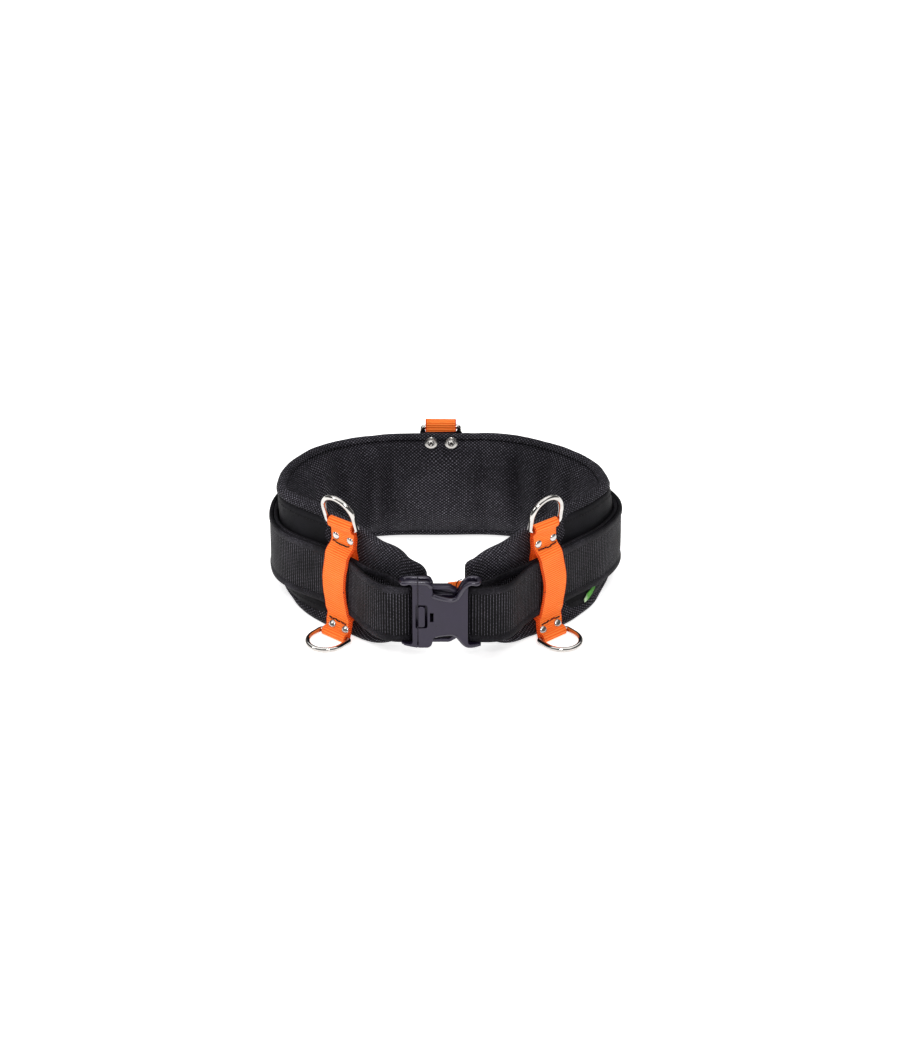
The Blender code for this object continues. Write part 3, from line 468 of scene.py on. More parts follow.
def belt_webbing_material():
    """Polypropylene belt webbing: upright ribs of beaded threads with painted highlights on the beads and painted
    shade between the ribs, and plain smoother bound edges.
    """
    made, tree, shader = new_material("ribbed_belt_webbing", 0.6, Specular_IOR_Level=0.1)
    along, up, spot = uv_axes(tree)
    # Ribs are 2.3 mm apart and their beads 1.3 mm; up counts from the belt's lower edge on both faces
    ribs = wave(tree, along, 2.3)
    beads = wave(tree, add(tree, MATH, along, 0.28, up, operation="MULTIPLY_ADD"), 1.3)
    above_low = add(tree, MATH, up, BOUND_EDGE, operation="SUBTRACT")
    below_high = add(tree, MATH, WEB_WIDTH - BOUND_EDGE, up, operation="SUBTRACT")
    body = add(tree, MATH, above_low, below_high, 0.5, operation="SMOOTH_MIN")
    inside = add(tree, MATH, body, 1.2, 0.5, operation="MULTIPLY_ADD", use_clamp=True)
    bead_tone = add(tree, MATH, beads, 0.45, 0.55, operation="MULTIPLY_ADD")
    rib_height = add(tree, MATH, ribs, 0.5, 0.5, operation="MULTIPLY_ADD")
    rib_tone = add(tree, MATH, rib_height, 1.8, operation="POWER")
    beaded = add(tree, MATH, bead_tone, rib_tone, operation="MULTIPLY")
    edge = add(tree, MATH, plain_weave(tree, along, up, 1.5), 0.25, 0.42, operation="MULTIPLY_ADD")
    weave = add(tree, MIX, inside, in2=edge, in3=beaded, data_type="FLOAT")
    fibre = add(tree, NOISE, spot, Scale=900.0, Detail=3.0)
    patch = add(tree, NOISE, spot, Scale=35.0, Detail=2.0)
    tone = uneven(tree, uneven(tree, weave, fibre, 0.7), patch, 0.5)
    # The ribs and beads are the weave's pattern; the ramp's light end is painted highlight and sparkle on the bead
    # tops and threads, and its dark end painted shade in the furrows
    colour = add(tree, RAMP, tone, stops=((0.05, "010102"), (0.3, "09080b"), (0.6, "252329"), (1.05, "827f8a")))
    add(tree, shader, Base_Color=colour, Normal=add(tree, BUMP, Height=tone, Distance=0.5 * MM, Strength=1.0))
    return made


def orange_webbing_material():
    """Dyed nylon webbing: cross ribs, deeper coloured braided side edges, and dashes of thread near each edge."""
    # A painted glow, emission in the webbing, keeps its shaded parts warm orange
    made, tree, shader = new_material("orange_nylon_webbing", 0.6, Specular_IOR_Level=0.12,
                                      Emission_Color=linear("ff5214"), Emission_Strength=0.2)
    along, across, spot = uv_axes(tree)
    # Ribs are 1.9 mm apart; across counts from one edge of the strap to the other
    ribs = wave(tree, along, 1.9)
    threads = wave(tree, across, 0.9)
    from_middle = add(tree, MATH, across, STRAP_WIDTH / 2, operation="SUBTRACT")
    rim = add(tree, MATH, from_middle, operation="ABSOLUTE")
    fibre = add(tree, NOISE, spot, Scale=800.0, Detail=3.0)
    patch = add(tree, NOISE, spot, Scale=45.0, Detail=3.0)
    tone = add(tree, MATH, ribs, 0.42, 0.15, operation="MULTIPLY_ADD")
    for source, share in ((threads, 0.08), (fibre, 0.3), (patch, 0.5)):
        tone = add(tree, MATH, source, share, tone, operation="MULTIPLY_ADD")
    face = add(tree, RAMP, tone, stops=((0.1, "e45c1f"), (0.45, "f2762e"), (0.8, "fb9040")))
    twill = wave(tree, add(tree, MATH, along, across, operation="ADD"), 1.8)
    braid = add(tree, MATH, twill, 0.5, 0.5, operation="MULTIPLY_ADD")
    side = add(tree, RAMP, braid, stops=((0.1, "7e1f05"), (0.6, "c23f0c"), (0.9, "e0561a")))
    past_face = add(tree, MATH, rim, 11.9, operation="SUBTRACT")
    at_side = add(tree, MATH, past_face, 3.0, 0.0, operation="MULTIPLY_ADD", use_clamp=True)
    from_seam = add(tree, MATH, add(tree, MATH, rim, 10.4, operation="SUBTRACT"), operation="ABSOLUTE")
    near_seam = add(tree, MATH, from_seam, 0.3, operation="LESS_THAN")
    on_stitch = add(tree, MATH, wave(tree, along, 3.2), 0.2, operation="GREATER_THAN")
    dash = add(tree, MATH, near_seam, on_stitch, operation="MULTIPLY")
    coloured = add(tree, MIX, at_side, in6=face, in7=side, data_type="RGBA")
    sewn = add(tree, MIX, add(tree, MATH, dash, 0.5, operation="MULTIPLY"), in6=coloured.outputs[2],
               in7=linear("9a5229"), data_type="RGBA")
    add(tree, shader, Base_Color=sewn.outputs[2],
        Normal=add(tree, BUMP, Height=tone, Distance=0.5 * MM, Strength=1.0))
    return made


def acetal_material():
    """Black acetal, injection moulded: dark grey, finely etched, with soft broad highlights."""
    made, tree, shader = new_material("moulded_black_acetal", 0.36, Specular_IOR_Level=0.5,
                                      Specular_Tint=linear("f2ecff"))
    spot = add(tree, "ShaderNodeTexCoord").outputs["Object"]
    etch = add(tree, NOISE, spot, Scale=1500.0, Detail=2.0)
    wear = add(tree, NOISE, spot, Scale=70.0, Detail=4.0)
    # The rolled rails come out of the mould smoother than the faces, and shine
    polished = add(tree, "ShaderNodeAttribute", attribute_name="polished").outputs["Fac"]
    add(tree, shader, Base_Color=add(tree, RAMP, wear, stops=((0.3, "15101e"), (0.7, "1b1526"))),
        Roughness=add(tree, MATH, wear, 0.1, 0.24, operation="MULTIPLY_ADD"),
        Coat_Weight=add(tree, MATH, polished, 0.5, operation="MULTIPLY"), Coat_Roughness=0.16,
        Normal=add(tree, BUMP, Height=etch, Distance=0.04 * MM, Strength=0.6))
    return made


def nickel_material(name, low, spread):
    """Nickel plate on steel, with fine handling marks: mirror-like on the rings and satin on the rivets."""
    made, tree, shader = new_material(name, low, metallic=1.0)
    marks = add(tree, NOISE, add(tree, "ShaderNodeTexCoord").outputs["Object"], Scale=260.0, Detail=5.0)
    add(tree, shader, Base_Color=add(tree, RAMP, marks, stops=((0.25, "b9b6b2"), (0.75, "cfccc8"))),
        Roughness=add(tree, MATH, marks, spread, low, operation="MULTIPLY_ADD"))
    return made


def thread_material():
    """Bonded polyester thread, twisted: black, and dull."""
    made, tree, shader = new_material("black_bonded_thread", 0.6, Specular_IOR_Level=0.2)
    twist = add(tree, NOISE, add(tree, "ShaderNodeTexCoord").outputs["Object"], Scale=1400.0)
    add(tree, shader, Base_Color=add(tree, RAMP, twist, stops=((0.3, "050506"), (0.7, "131215"))))
    return made


def green_webbing_material():
    """Dyed green ribbon, plain woven, with a paler end."""
    made, tree, shader = new_material("green_nylon_ribbon", 0.6, Specular_IOR_Level=0.15)
    along, up, spot = uv_axes(tree)
    fibre = add(tree, NOISE, spot, Scale=500.0, Detail=3.0)
    ribs = add(tree, MATH, wave(tree, up, 1.2), 0.08, fibre, operation="MULTIPLY_ADD")
    # along runs from the tag's upper end, 0, to its lower end, 1
    tone = add(tree, MATH, along, 0.9, add(tree, MATH, ribs, 0.3, operation="MULTIPLY"), operation="MULTIPLY_ADD")
    colour = add(tree, RAMP, tone, stops=((0.15, "498c34"), (0.75, "5fa845"), (1.0, "c4e0b4")))
    add(tree, shader, Base_Color=colour, Normal=add(tree, BUMP, Height=ribs, Distance=0.2 * MM, Strength=1.0))
    return made


AIR_MESH = spacer_mesh_material()
NYLON = nylon_cloth_material()
BELTING = belt_webbing_material()
ORANGE = orange_webbing_material()
ACETAL = acetal_material()
NICKEL = nickel_material("bright_nickel_plate", 0.03, 0.08)
RIVET_NICKEL = nickel_material("satin_nickel_plate", 0.19, 0.12)
THREAD = thread_material()
GREEN = green_webbing_material()


# ---------- pad ----------

def pad_rows():
    at_rows = lengths_along(np.array(PLAN, float)[:, :2])
    line = read_plan(at_rows)
    face = line["point"] + line["inward"] * line["pad"][:, None]
    middle = np.column_stack([face, line["values"][:, 4:]])
    # Near the buckle the pad bends less sharply than the webbing does
    left, right = (middle[i:i + 2].mean(axis=0) for i in (1, -3))
    left[:2], right[:2] = middle[[0, 3], :2].mean(axis=0), middle[[-4, -1], :2].mean(axis=0)
    middle = np.concatenate([middle[:1], [left], middle[3:-3], [right], middle[-1:]])
    return np.concatenate([np.array(LEFT_END, float), middle, np.array(RIGHT_END, float)])


def pad_stations(spacing):
    """Rows of the pad close together: place along, point, inward normal, values, foam dent and end swell."""
    rows = pad_rows()
    at_rows = lengths_along(rows[:, :2])
    total = at_rows[-1]
    ends = END_ROUND * np.array([0.0, 0.03, 0.1, 0.22, 0.4, 0.65, 1.0])
    middle = np.linspace(END_ROUND, total - END_ROUND, int((total - 2 * END_ROUND) / spacing) + 1)
    at = np.concatenate([ends[:-1], middle, total - ends[:-1][::-1]])
    values = spline(at_rows, rows, at)
    point = values[:, :2]
    fine = spline(at_rows, rows[:, :2], at + 0.5) - spline(at_rows, rows[:, :2], at - 0.5)
    fine /= np.linalg.norm(fine, axis=1)[:, None]
    normal = np.stack([fine[:, 1], -fine[:, 0]], axis=1)
    values[:, 4] = np.maximum(values[:, 4], 0.0)
    dent = np.zeros(len(at))
    for share, depth, width in CHANNELS:
        dent = np.maximum(dent, depth * np.exp(-((at - share * total) / width)**2))
    from_end = np.minimum(at, total - at) / END_ROUND
    swell = np.sqrt(np.clip(1 - (1 - np.minimum(from_end, 1))**2, 0.06, 1))
    return at, total, point, normal, values[:, 2:], dent, swell


def outer_face(height, bottom, top, flare, lean):
    """How far inside belt level the pad's outer face lies at a height."""
    low = max(0.0, (WEB_BOTTOM + 1 - height) / (WEB_BOTTOM + 1 - bottom))
    high = max(0.0, (height - WEB_TOP) / max(top - WEB_TOP, 5.0))
    return -flare * low + lean * min(high, 1.0)


def drawn_in(outline, thick, middle, half, swell):
    squash = 1 - (1 - swell) * END_ROUND / half
    centre = thick / 2
    return [(centre + (depth - centre) * swell, middle + (height - middle) * squash) for depth, height in outline]


def pad_outline(values, dent, swell, recess):
    """Points of the pad's section from the outside's middle over the top to the inside, and back below."""
    flare, lean, bottom, top, thick = values
    foam = max(thick - dent, RIM + 1.5)
    middle, half = (bottom + top) / 2, (top - bottom) / 2
    bulge = foam - RIM

    def outer(height):
        return outer_face(height, bottom, top, flare, lean)

    def edge(side):
        end = middle + side * half
        out = outer(end)
        r = RIM_RADIUS
        face = [(outer(end - side * down) + recess * share, end - side * down)
                for down, share in ((30, 1), (24, 1), (18, 1), (13, 1), (9.5, 1), (8.2, 0.95), (7.2, 0.5), (6.4, 0.1),
                                    (5.4, -0.1))]
        arc = [(out + RIM / 2 - RIM / 2 * math.cos(a), end - side * r + side * r * math.sin(a))
               for a in np.radians((0, 22, 45, 68, 90, 112, 135, 158, 180))]
        # The crease inside the upper rim is deep, and the one inside the lower rim shallow
        deep = 1.0 if side > 0 else 0.2
        crease = [(out + RIM + shift * (deep if shift < 0 else 1), end - side * down)
                  for down, shift in ((4.2, 0.1), (4.6, -0.6), (5.0, -1.7), (5.4, -2.4), (5.9, -1.7), (6.7, 0.2),
                                      (8.4, 0.9 + 0.1 * bulge))]
        slope = [(out * (1 - share**2 * 0.5) + RIM + share * bulge, end - side * down)
                 for down, share in ((11.0, 0.40), (14.0, 0.60), (18.0, 0.77), (23.0, 0.89), (28.0, 0.96),
                                     (34.0, 1.0))]
        return face + arc + crease + slope

    upper = edge(1)
    lower = edge(-1)
    inside = [(foam + 0.2, middle + half * share) for share in (0.2, 0.07, -0.07, -0.2)]
    outside = [(outer(middle + half * share) + recess, middle + half * share) for share in (-0.2, 0.0, 0.2)]
    outline = outside + upper + inside + lower[::-1]
    return drawn_in(outline, thick, middle, half, swell)


def make_pad():
    """Foam under air mesh: a closed tube of cloth, blown up a little with its rims held, then creased."""
    at, total, point, normal, values, dent, swell = pad_stations(4.0)
    rows, uv = [], []
    for i in range(len(at)):
        # Between the straps and the buckle the pad's outside is bare mesh, so it has no recess there
        bare = np.clip((BARE_END - min(at[i], total - at[i])) / BARE_BLEND, 0, 1)
        ring = pad_outline(values[i], dent[i], swell[i], PANEL_RECESS * (1 - bare) + 0.3)
        ring = np.array(ring + [ring[0]])
        walk = lengths_along(ring)
        rows.append([place(*(point[i] + normal[i] * depth), max(height, 0.0)) for depth, height in ring])
        uv.append(np.stack([np.full(len(ring), at[i]), walk], axis=1))
    pad = grid_piece("comfort_pad_mesh", np.array(rows), np.array(uv), wrap=True, caps=True)
    puffed(pad)
    applied(pad, "SUBSURF", levels=1, render_levels=1)
    creased(pad)
    for way in (-1, 1):
        pressed(pad, way * RIVETS["back_top"][0])
    return pad


def puffed(pad):
    """The foam swells under its cloth while the rims and the outside stay; no point moves past the cap."""
    cap = 2.2 * MM
    frames = 20
    start = np.array([v.co[:] for v in pad.data.vertices])
    held = pad.vertex_groups.new(name="held")
    line = plan_line(2.0)
    belt = (line["point"] - np.array(FRAME_CENTRE)) * MM
    for i, spot in enumerate(start):
        nearest = int(np.argmin(np.linalg.norm(belt - spot[:2], axis=1)))
        inward = float(np.dot(spot[:2] - belt[nearest], line["inward"][nearest])) / MM - line["pad"][nearest]
        height = spot[2] / MM
        near_rim = min(height - line["bottom"][nearest], line["top"][nearest] - height) < 10.2
        near_buckle = spot[1] / MM + FRAME_CENTRE[1] < 78.0
        if inward < 8.5 or near_rim or near_buckle:
            held.add([i], 1.0, "REPLACE")
    only(pad)
    cloth = pad.modifiers.new("cloth", "CLOTH")
    settings = cloth.settings
    settings.quality = 6
    settings.mass = 0.25
    settings.tension_stiffness = settings.compression_stiffness = 14
    settings.shear_stiffness = 6
    settings.bending_stiffness = 0.6
    settings.use_pressure = True
    settings.uniform_pressure_force = 4.0
    settings.vertex_group_mass = "held"
    settings.effector_weights.gravity = 0.0
    settings.shrink_min = -0.02
    cloth.collision_settings.use_self_collision = False
    cloth.point_cache.frame_start, cloth.point_cache.frame_end = 1, frames
    for step in range(1, frames + 1):
        bpy.context.scene.frame_set(step)
    only(pad)
    bpy.ops.object.modifier_apply(modifier=cloth.name)
    bpy.context.scene.frame_set(1)
    moved = np.array([v.co[:] for v in pad.data.vertices]) - start
    length = np.linalg.norm(moved, axis=1)[:, None]
    moved *= np.minimum(1.0, cap / np.maximum(length, 1e-9))
    pad.data.vertices.foreach_set("co", (start + moved).reshape(-1))
    pad.data.update()


def creased(pad):
    """Small soft hollows and swellings over the foam, as worn mesh has."""
    mesh = pad.data
    coords = np.array([v.co[:] for v in mesh.vertices])
    normals = np.array([v.normal[:] for v in mesh.vertices])
    shift = np.array([noise.noise(Vector(spot) * 55.0) * 0.55 + noise.noise(Vector(spot) * 130.0) * 0.22
                      for spot in coords]) * MM
    shift[coords[:, 2] < 0.0015] = 0.0
    shift *= np.clip((coords[:, 1] / MM + FRAME_CENTRE[1] - 10.0) / 80.0, 0.3, 1.0)
    moved = coords + normals * shift[:, None]
    moved[:, 2] = np.maximum(moved[:, 2], 0.0)
    mesh.vertices.foreach_set("co", moved.reshape(-1))
    mesh.update()


# Half of each pair's spacing, its shift along the strap's width, and its place along the joined layers
RIVETS = {"left_top": (7.9, 0.4, 1.15), "right_top": (8.4, 0.9, 0.5), "back_top": (8.6, 0.0, 1.42),
          "left_foot": (7.3, 1.2, 2.4), "right_foot": (8.2, 0.0, 2.5), "back_foot": (7.2, 0.0, 2.0)}
WASHER_DEPTH = 14.6


def washer_seat(across):
    """Middle and outward axis of a washer on the pad's inner face, behind the back strap."""
    middle, axis = joined_frame("back", BACK_TOP, RIVETS["back_top"][2], across)
    return middle - axis * WASHER_DEPTH * MM, axis


def pressed(pad, across):
    """The washer presses the foam flat behind it and puckers it round about."""
    seat, axis = washer_seat(across)
    coords = np.array([v.co[:] for v in pad.data.vertices])
    away = coords - np.array(seat)
    deep = -away @ np.array(axis)
    side = np.linalg.norm(away + np.outer(deep, np.array(axis)), axis=1) / MM
    near = (side < 13.0) & (deep > -6.0 * MM)
    level = (-1.0 + 4.5 * np.clip((side - 6.4) / 6.6, 0, 1)) * MM
    sink = np.where(near, np.maximum(deep - level, 0.0), 0.0)
    coords += np.outer(sink, np.array(axis))
    pad.data.vertices.foreach_set("co", coords.reshape(-1))
    pad.data.update()


def make_panel():
    """Outer cloth of the pad between the two front straps, puckered by the stitching along its edges."""
    at, total, point, normal, values, _, _ = pad_stations(3.0)
    rows, uv, upper, lower, outs = [], [], [], [], []
    for i in range(len(at)):
        if min(at[i], total - at[i]) < PANEL_START:
            continue
        flare, lean, bottom, top, _ = values[i]
        low, high = bottom + PANEL_INSET, top - PANEL_INSET
        spots, coords = [], []
        heights = np.linspace(low, high, 34)
        for height in heights:
            from_edge = min(height - low, high - height)
            pucker = 0.35 * math.cos(2 * math.pi * at[i] / 7.5) * math.exp(-from_edge / 5.0)
            rounding = -0.9 * math.exp(-from_edge / 1.2)
            spot = Vector((at[i] / 28.0, height / 40.0, 3.7))
            ripple = 0.5 * noise.noise(spot) + 0.3 * noise.noise(spot * 2.7)
            depth = outer_face(height, bottom, top, flare, lean) + 0.35 - rounding + pucker * 0.5 + ripple * 0.5
            spots.append(place(*(point[i] + normal[i] * depth), height))
            coords.append((at[i], height))
        rows.append(spots)
        uv.append(coords)
        outward = np.array([-normal[i][0], -normal[i][1], 0.0])
        for line, row in ((upper, -3), (lower, 2)):
            line.append(np.array(spots[row]) + outward * 0.25 * MM)
        outs.append(outward)
    panel = grid_piece("pad_cloth_panel", np.array(rows), np.array(uv))
    applied(panel, "SOLIDIFY", thickness=0.8 * MM, offset=-1.0)
    seams = [stitches("seam", np.array(line), 3.4, 2.4, 0.75, np.array(outs)) for line in (upper, lower)]
    return panel, joined("panel_seams", seams)


# ---------- belt webbing ----------

def fold(bar_x, turn):
    angles = np.radians(np.linspace(70, -70, 12))
    return np.stack([bar_x + turn * FOLD_RADIUS * np.cos(angles), BAR_Y + FOLD_RADIUS * np.sin(angles)], axis=1)


def webbing_path():
    spacing = 12.0
    band = plan_line(spacing)
    left = plan_line(spacing, *LEFT_TAIL_ROWS)
    right = plan_line(spacing, *RIGHT_TAIL_ROWS)
    left_tail = left["point"] + left["inward"] * left["tail"][:, None]
    right_tail = right["point"] + right["inward"] * right["tail"][:, None]
    return np.concatenate([left_tail[::-1], fold(LEFT_BAR_X, 1), band["point"],
                           fold(RIGHT_BAR_X, -1)[::-1], right_tail[::-1]])


def make_webbing():
    """One length of webbing with rolled, bound edges, folded back through both ends of the buckle."""
    path = evened(webbing_path(), 2.6)
    normals = side_normals(path)
    at = lengths_along(path)
    heights = [0.0, 0.25, 0.9, 2.0, 3.4, 4.8, 5.8, 6.3, 7.0, 9.0, 13.0, 18.0, 25.0]
    halves = [0.25, 0.95, 1.45, 1.72, 1.78, 1.6, 1.2, 0.92, 0.98, 1.05, 1.1, 1.1, 1.1]
    front = list(zip(halves, heights)) + [(half, WEB_WIDTH - height) for half, height in
                                          list(zip(halves, heights))[-2::-1]]
    section = front + [(-half, height) for half, height in front[::-1]] + [front[0]]
    rows, uv = [], []
    for i, (spot, normal) in enumerate(zip(path, normals)):
        wander = 0.25 * noise.noise(Vector((at[i] / 30.0, 0.0, 1.3)))
        # The webbing hangs a little lower at the buckle
        drop = 1.3 * np.clip((16.0 - spot[1]) / 10.0, 0, 1)
        line = []
        for half, height in section:
            ripple = 0.16 * noise.noise(Vector((at[i] / 16.0, height / 14.0, 6.1)))
            out = half + ripple + wander * 0.3
            line.append(place(*(spot + normal * out), WEB_BOTTOM + height + wander * 0.6 - drop))
        rows.append(line)
        uv.append([(at[i], height) for _, height in section])
    return grid_piece("ribbed_belt", np.array(rows), np.array(uv), wrap=True, caps=True)


# ---------- orange straps ----------

# Each strap's place on the belt and its outward direction, worked out once
SEATS = {}


def strap_seat(side):
    line = plan_line(0.5)
    nearest = int(np.argmin(np.linalg.norm(line["point"] - np.array(STRAPS[side]["near"]), axis=1)))
    half = int(STRAP_WIDTH)
    chord = Vector(line["point"][nearest + half] - line["point"][nearest - half]).normalized()
    outward = Vector((-chord.y, chord.x))
    return Vector(line["point"][nearest]) + outward * STRAPS[side]["stand_off"], outward


def strap_place(side, out, height, across=0.0):
    """A place on a strap, from how far out, how high and how far across it is."""
    if side not in SEATS:
        SEATS[side] = strap_seat(side)
    middle, outward = SEATS[side]
    setting = STRAPS[side]
    if height > WEB_MIDDLE:
        end, reach = "top", (height - WEB_MIDDLE) / (FRONT_TOP[-1][1] - WEB_MIDDLE)
    else:
        end, reach = "foot", (WEB_MIDDLE - height) / (WEB_MIDDLE - FRONT_FOOT[-1][1])
    reach = min(reach, 1.0)
    turned = outward.copy()
    turned.rotate(Matrix.Rotation(math.radians(setting[end + "_turn"] * reach**3), 2))
    bow = setting["bow"] * (1.0 if end == "top" else 0.1) * 16 * reach**2 * (1 - reach)**2
    slide = (setting[end + "_slide"] * reach**2 + bow) * (1 if side == "left" else -1)
    spot = middle + turned * out + Vector((-turned.y, turned.x)) * (across + slide)
    return place(spot.x, spot.y, height + (setting["skew"] * across * reach**3 if end == "top" else 0.0))


def arc(centre, start, end, steps):
    radius = RING_WIRE + GAP + STRAP_HALF
    angles = np.radians(np.linspace(start, end, steps))
    return [(centre[0] + radius * math.cos(a), centre[1] + radius * math.sin(a)) for a in angles]


def ring_fold(joined_end, bar, middle):
    along = math.degrees(math.atan2(bar[1] - joined_end[1], bar[0] - joined_end[0]))
    slack = math.degrees(math.atan2(middle[1] - bar[1], middle[0] - bar[0])) if middle != bar else along
    spread = 125
    around = arc(bar, along + spread, slack + 90, 4)
    over = arc(middle, slack + 90, slack - 90, 13)
    if middle == bar:
        around, over = around[:-1], over[:-1]
    return around + over + arc(bar, slack - 90, along - spread, 4)


def joined_layers(line, sign):
    points = np.array(line)
    return [tuple(point) for point in points + side_normals(points) * JOINED * sign]


def strap_loop(side):
    """Middle of a strap's webbing as a closed loop, smoothed: down the outside, round, up the inside and round."""
    back = side == "back"
    top, top_bar, top_fold = ((BACK_TOP, BACK_TOP_BAR, BACK_TOP_FOLD) if back
                              else (FRONT_TOP, FRONT_TOP_BAR, FRONT_TOP_FOLDS[side]))
    behind = BEHIND_WEB if back else BEHIND_TAIL
    outer_top, inner_top = (joined_layers(top[::-1], sign) for sign in (1, -1))
    outer_foot, inner_foot = (joined_layers(FRONT_FOOT, sign) for sign in (1, -1))
    outer = [(OUTSIDE - 0.6, WEB_TOP + 2), (OUTSIDE, WEB_TOP - 4), (OUTSIDE + 0.3, WEB_TOP - 14),
             (OUTSIDE + 0.35, WEB_MIDDLE), (OUTSIDE + 0.3, WEB_BOTTOM + 14),
             (OUTSIDE, WEB_BOTTOM + 4), (OUTSIDE + 0.1, WEB_BOTTOM - 0.5)]
    inner = [(behind + 2.4, WEB_BOTTOM - 2.0), (behind, WEB_BOTTOM + 3), (behind, WEB_BOTTOM + 14),
             (behind, WEB_MIDDLE), (behind, WEB_TOP - 14), (behind, WEB_TOP - 2.5)]
    loop = (ring_fold(top[-1], top_bar, top_fold) + outer_top + outer + outer_foot
            + ring_fold(FRONT_FOOT[-1], FRONT_FOOT_BAR, FRONT_FOOT_BAR) + inner_foot[::-1] + inner
            + inner_top[::-1])
    return evened(loop, 1.3, closed=True)


def make_strap(side):
    """Ribbed webbing with soft edges, slightly uneven across and along, as sewn straps are."""
    loop = strap_loop(side)[:-1]
    normals = side_normals(loop, closed=True)
    at = np.append(lengths_along(loop), lengths_along(loop)[-1] + np.linalg.norm(loop[0] - loop[-1]))
    half = STRAP_WIDTH / 2
    edge = [(-half + 0.1, -0.35), (-half - 0.05, 0.0), (-half + 0.1, 0.35), (-half + 0.5, 0.74)]
    face = [(across, 0.68) for across in (-half + 1.5, -9.0, -5.5, -2.0, 2.0, 5.5, 9.0, half - 1.5)]
    front = edge + [(-half + 1.0, 0.78)] + face + [(half - 1.0, 0.78), (half - 0.5, 0.74), (half - 0.1, 0.35)]
    section = front + [(-across, -thick) for across, thick in front] + [front[0]]
    rows, uv = [], []
    for i in list(range(len(loop))) + [0]:
        line, coords = [], []
        index = len(rows)
        # Away from the rings the edge nearer the buckle rolls out and shows its braid
        roll = 0.0 if side == "back" else 1.1 * np.clip((42.0 - abs(loop[i][1] - 50.0)) / 10.0, 0, 1)
        inner = -1 if side == "right" else 1
        for across, thick in section:
            across += inner * roll * (across * inner > half - 0.6)
            wobble = 0.22 * noise.noise(Vector((at[index] % at[-1] / 9.0, 3.0 if across > 0 else 8.0, len(side))))
            sway = wobble * (1.0 if 0 < index < len(loop) else 0.0) * (1 if abs(across) > half - 2 else 0)
            out, height = loop[i] + normals[i] * thick
            line.append(strap_place(side, out, height, across + sway))
            coords.append((at[index], across + half))
        rows.append(line)
        uv.append(coords)
    return grid_piece(side + "_orange_strap", np.array(rows), np.array(uv), wrap=True)


def strap_face(side, out, height, across):
    """A place on a strap and the strap's outward direction there, as arrays."""
    _, outward = SEATS[side]
    return np.array(strap_place(side, out, height, across)), np.array((outward.x, outward.y, 0.0))


def joined_frame(side, line, row, across):
    """Middle and outward axis of the joined layers at a row of their line, or between two rows."""
    low, spot, high = (np.array([np.interp(at, range(len(line)), column) for column in np.array(line).T])
                       for at in (row - 0.1, row, row + 0.1))
    along = (strap_place(side, *high, across) - strap_place(side, *low, across)).normalized()
    sideways = (strap_place(side, *spot, across + 1) - strap_place(side, *spot, across)).normalized()
    axis = sideways.cross(along).normalized()
    _, outward = SEATS[side]
    if axis.dot(Vector((outward.x, outward.y, 0))) < 0:
        axis.negate()
    return strap_place(side, *spot, across), axis


def strap_stitching(side):
    """Black thread across each end of a strap, just inboard of its rivets."""
    rows = []
    top = BACK_TOP if side == "back" else FRONT_TOP
    for line, shift, end in ((top, -5.8 if side == "right" else -3.8, "_top"), (FRONT_FOOT, -0.6, "_foot")):
        _, height = joined_layers(line, 1 if line is FRONT_FOOT else -1)[1]
        seam, up = [], []
        for across in np.linspace(-10.8, 9.8, 30) + RIVETS[side + end][1]:
            wander = 0.45 * noise.noise(Vector((across * 0.3, shift, len(side))))
            sag = 1.1 * (1 - (across / 10.5)**2) * (-1 if line is top else 0.2) + wander
            level = height + shift + sag
            spot, outward = strap_face(side, loop_out(side, level) + STRAP_HALF + 0.45, level, across)
            seam.append(spot)
            up.append(outward)
        rows.append(stitches("thread", np.array(seam), 2.4, 3.4, 1.4, np.array(up)))
    # A knotted thread end sits on the edge nearer the buckle, half way down
    if side != "back":
        inner = -1 if side == "right" else 1
        seam, up = [], []
        for across in np.linspace(STRAP_WIDTH / 2 - 1.2, STRAP_WIDTH / 2 + 0.9, 4):
            spot, outward = strap_face(side, loop_out(side, 42.0) + 0.4, 42.0, inner * across)
            seam.append(spot)
            up.append(outward)
        rows.append(stitches("thread", np.array(seam), 2.0, 2.6, 1.5, np.array(up)))
    return joined(side + "_strap_thread", rows)


def loop_out(side, height):
    """How far out the middle of a strap's outer layer is at a height."""
    loop = strap_loop(side)
    outer = loop[np.argsort(-loop[:, 0])]
    near = outer[np.abs(outer[:, 1] - height) < 0.9]
    return float(near[0, 0])


# ---------- rings and rivets ----------

def make_ring(side, end):
    """A D-ring bent from nickel-plated wire, its two ends welded in the middle of the bar."""
    bar = FRONT_FOOT_BAR if end == "foot" else (BACK_TOP_BAR if side == "back" else FRONT_TOP_BAR)
    lean = math.radians(RING_LEAN.get(side + "_" + end, FOOT_LEAN))
    middle = strap_place(side, *bar)
    across = (strap_place(side, 0, bar[1], 1.0) - strap_place(side, 0, bar[1], 0.0)).to_2d().normalized().to_3d()
    outward = (strap_place(side, 1.0, bar[1]) - strap_place(side, 0.0, bar[1])).normalized()
    away = Vector((0, 0, 1)) * math.cos(lean) + outward * math.sin(lean)
    corner = [(RING_HALF_WIDTH - RING_CORNER * (1 - math.sin(a)), RING_CORNER * (1 - math.cos(a)))
              for a in np.radians(np.linspace(0, 90, 9))]
    leg = RING_LEG.get(side + "_" + end, FOOT_RING_LEG)
    bow = [(RING_HALF_WIDTH * math.cos(a), leg + RING_HALF_WIDTH * math.sin(a))
           for a in np.radians(np.linspace(0, 90, 26))]
    half = corner + bow
    outline = half + [(-side_way, reach) for side_way, reach in half[-2::-1]]
    points = [middle + across * side_way * MM + away * reach * MM for side_way, reach in outline]
    return tube(side + "_" + end + "_d_ring", points, RING_WIRE, sides=24, closed=True)


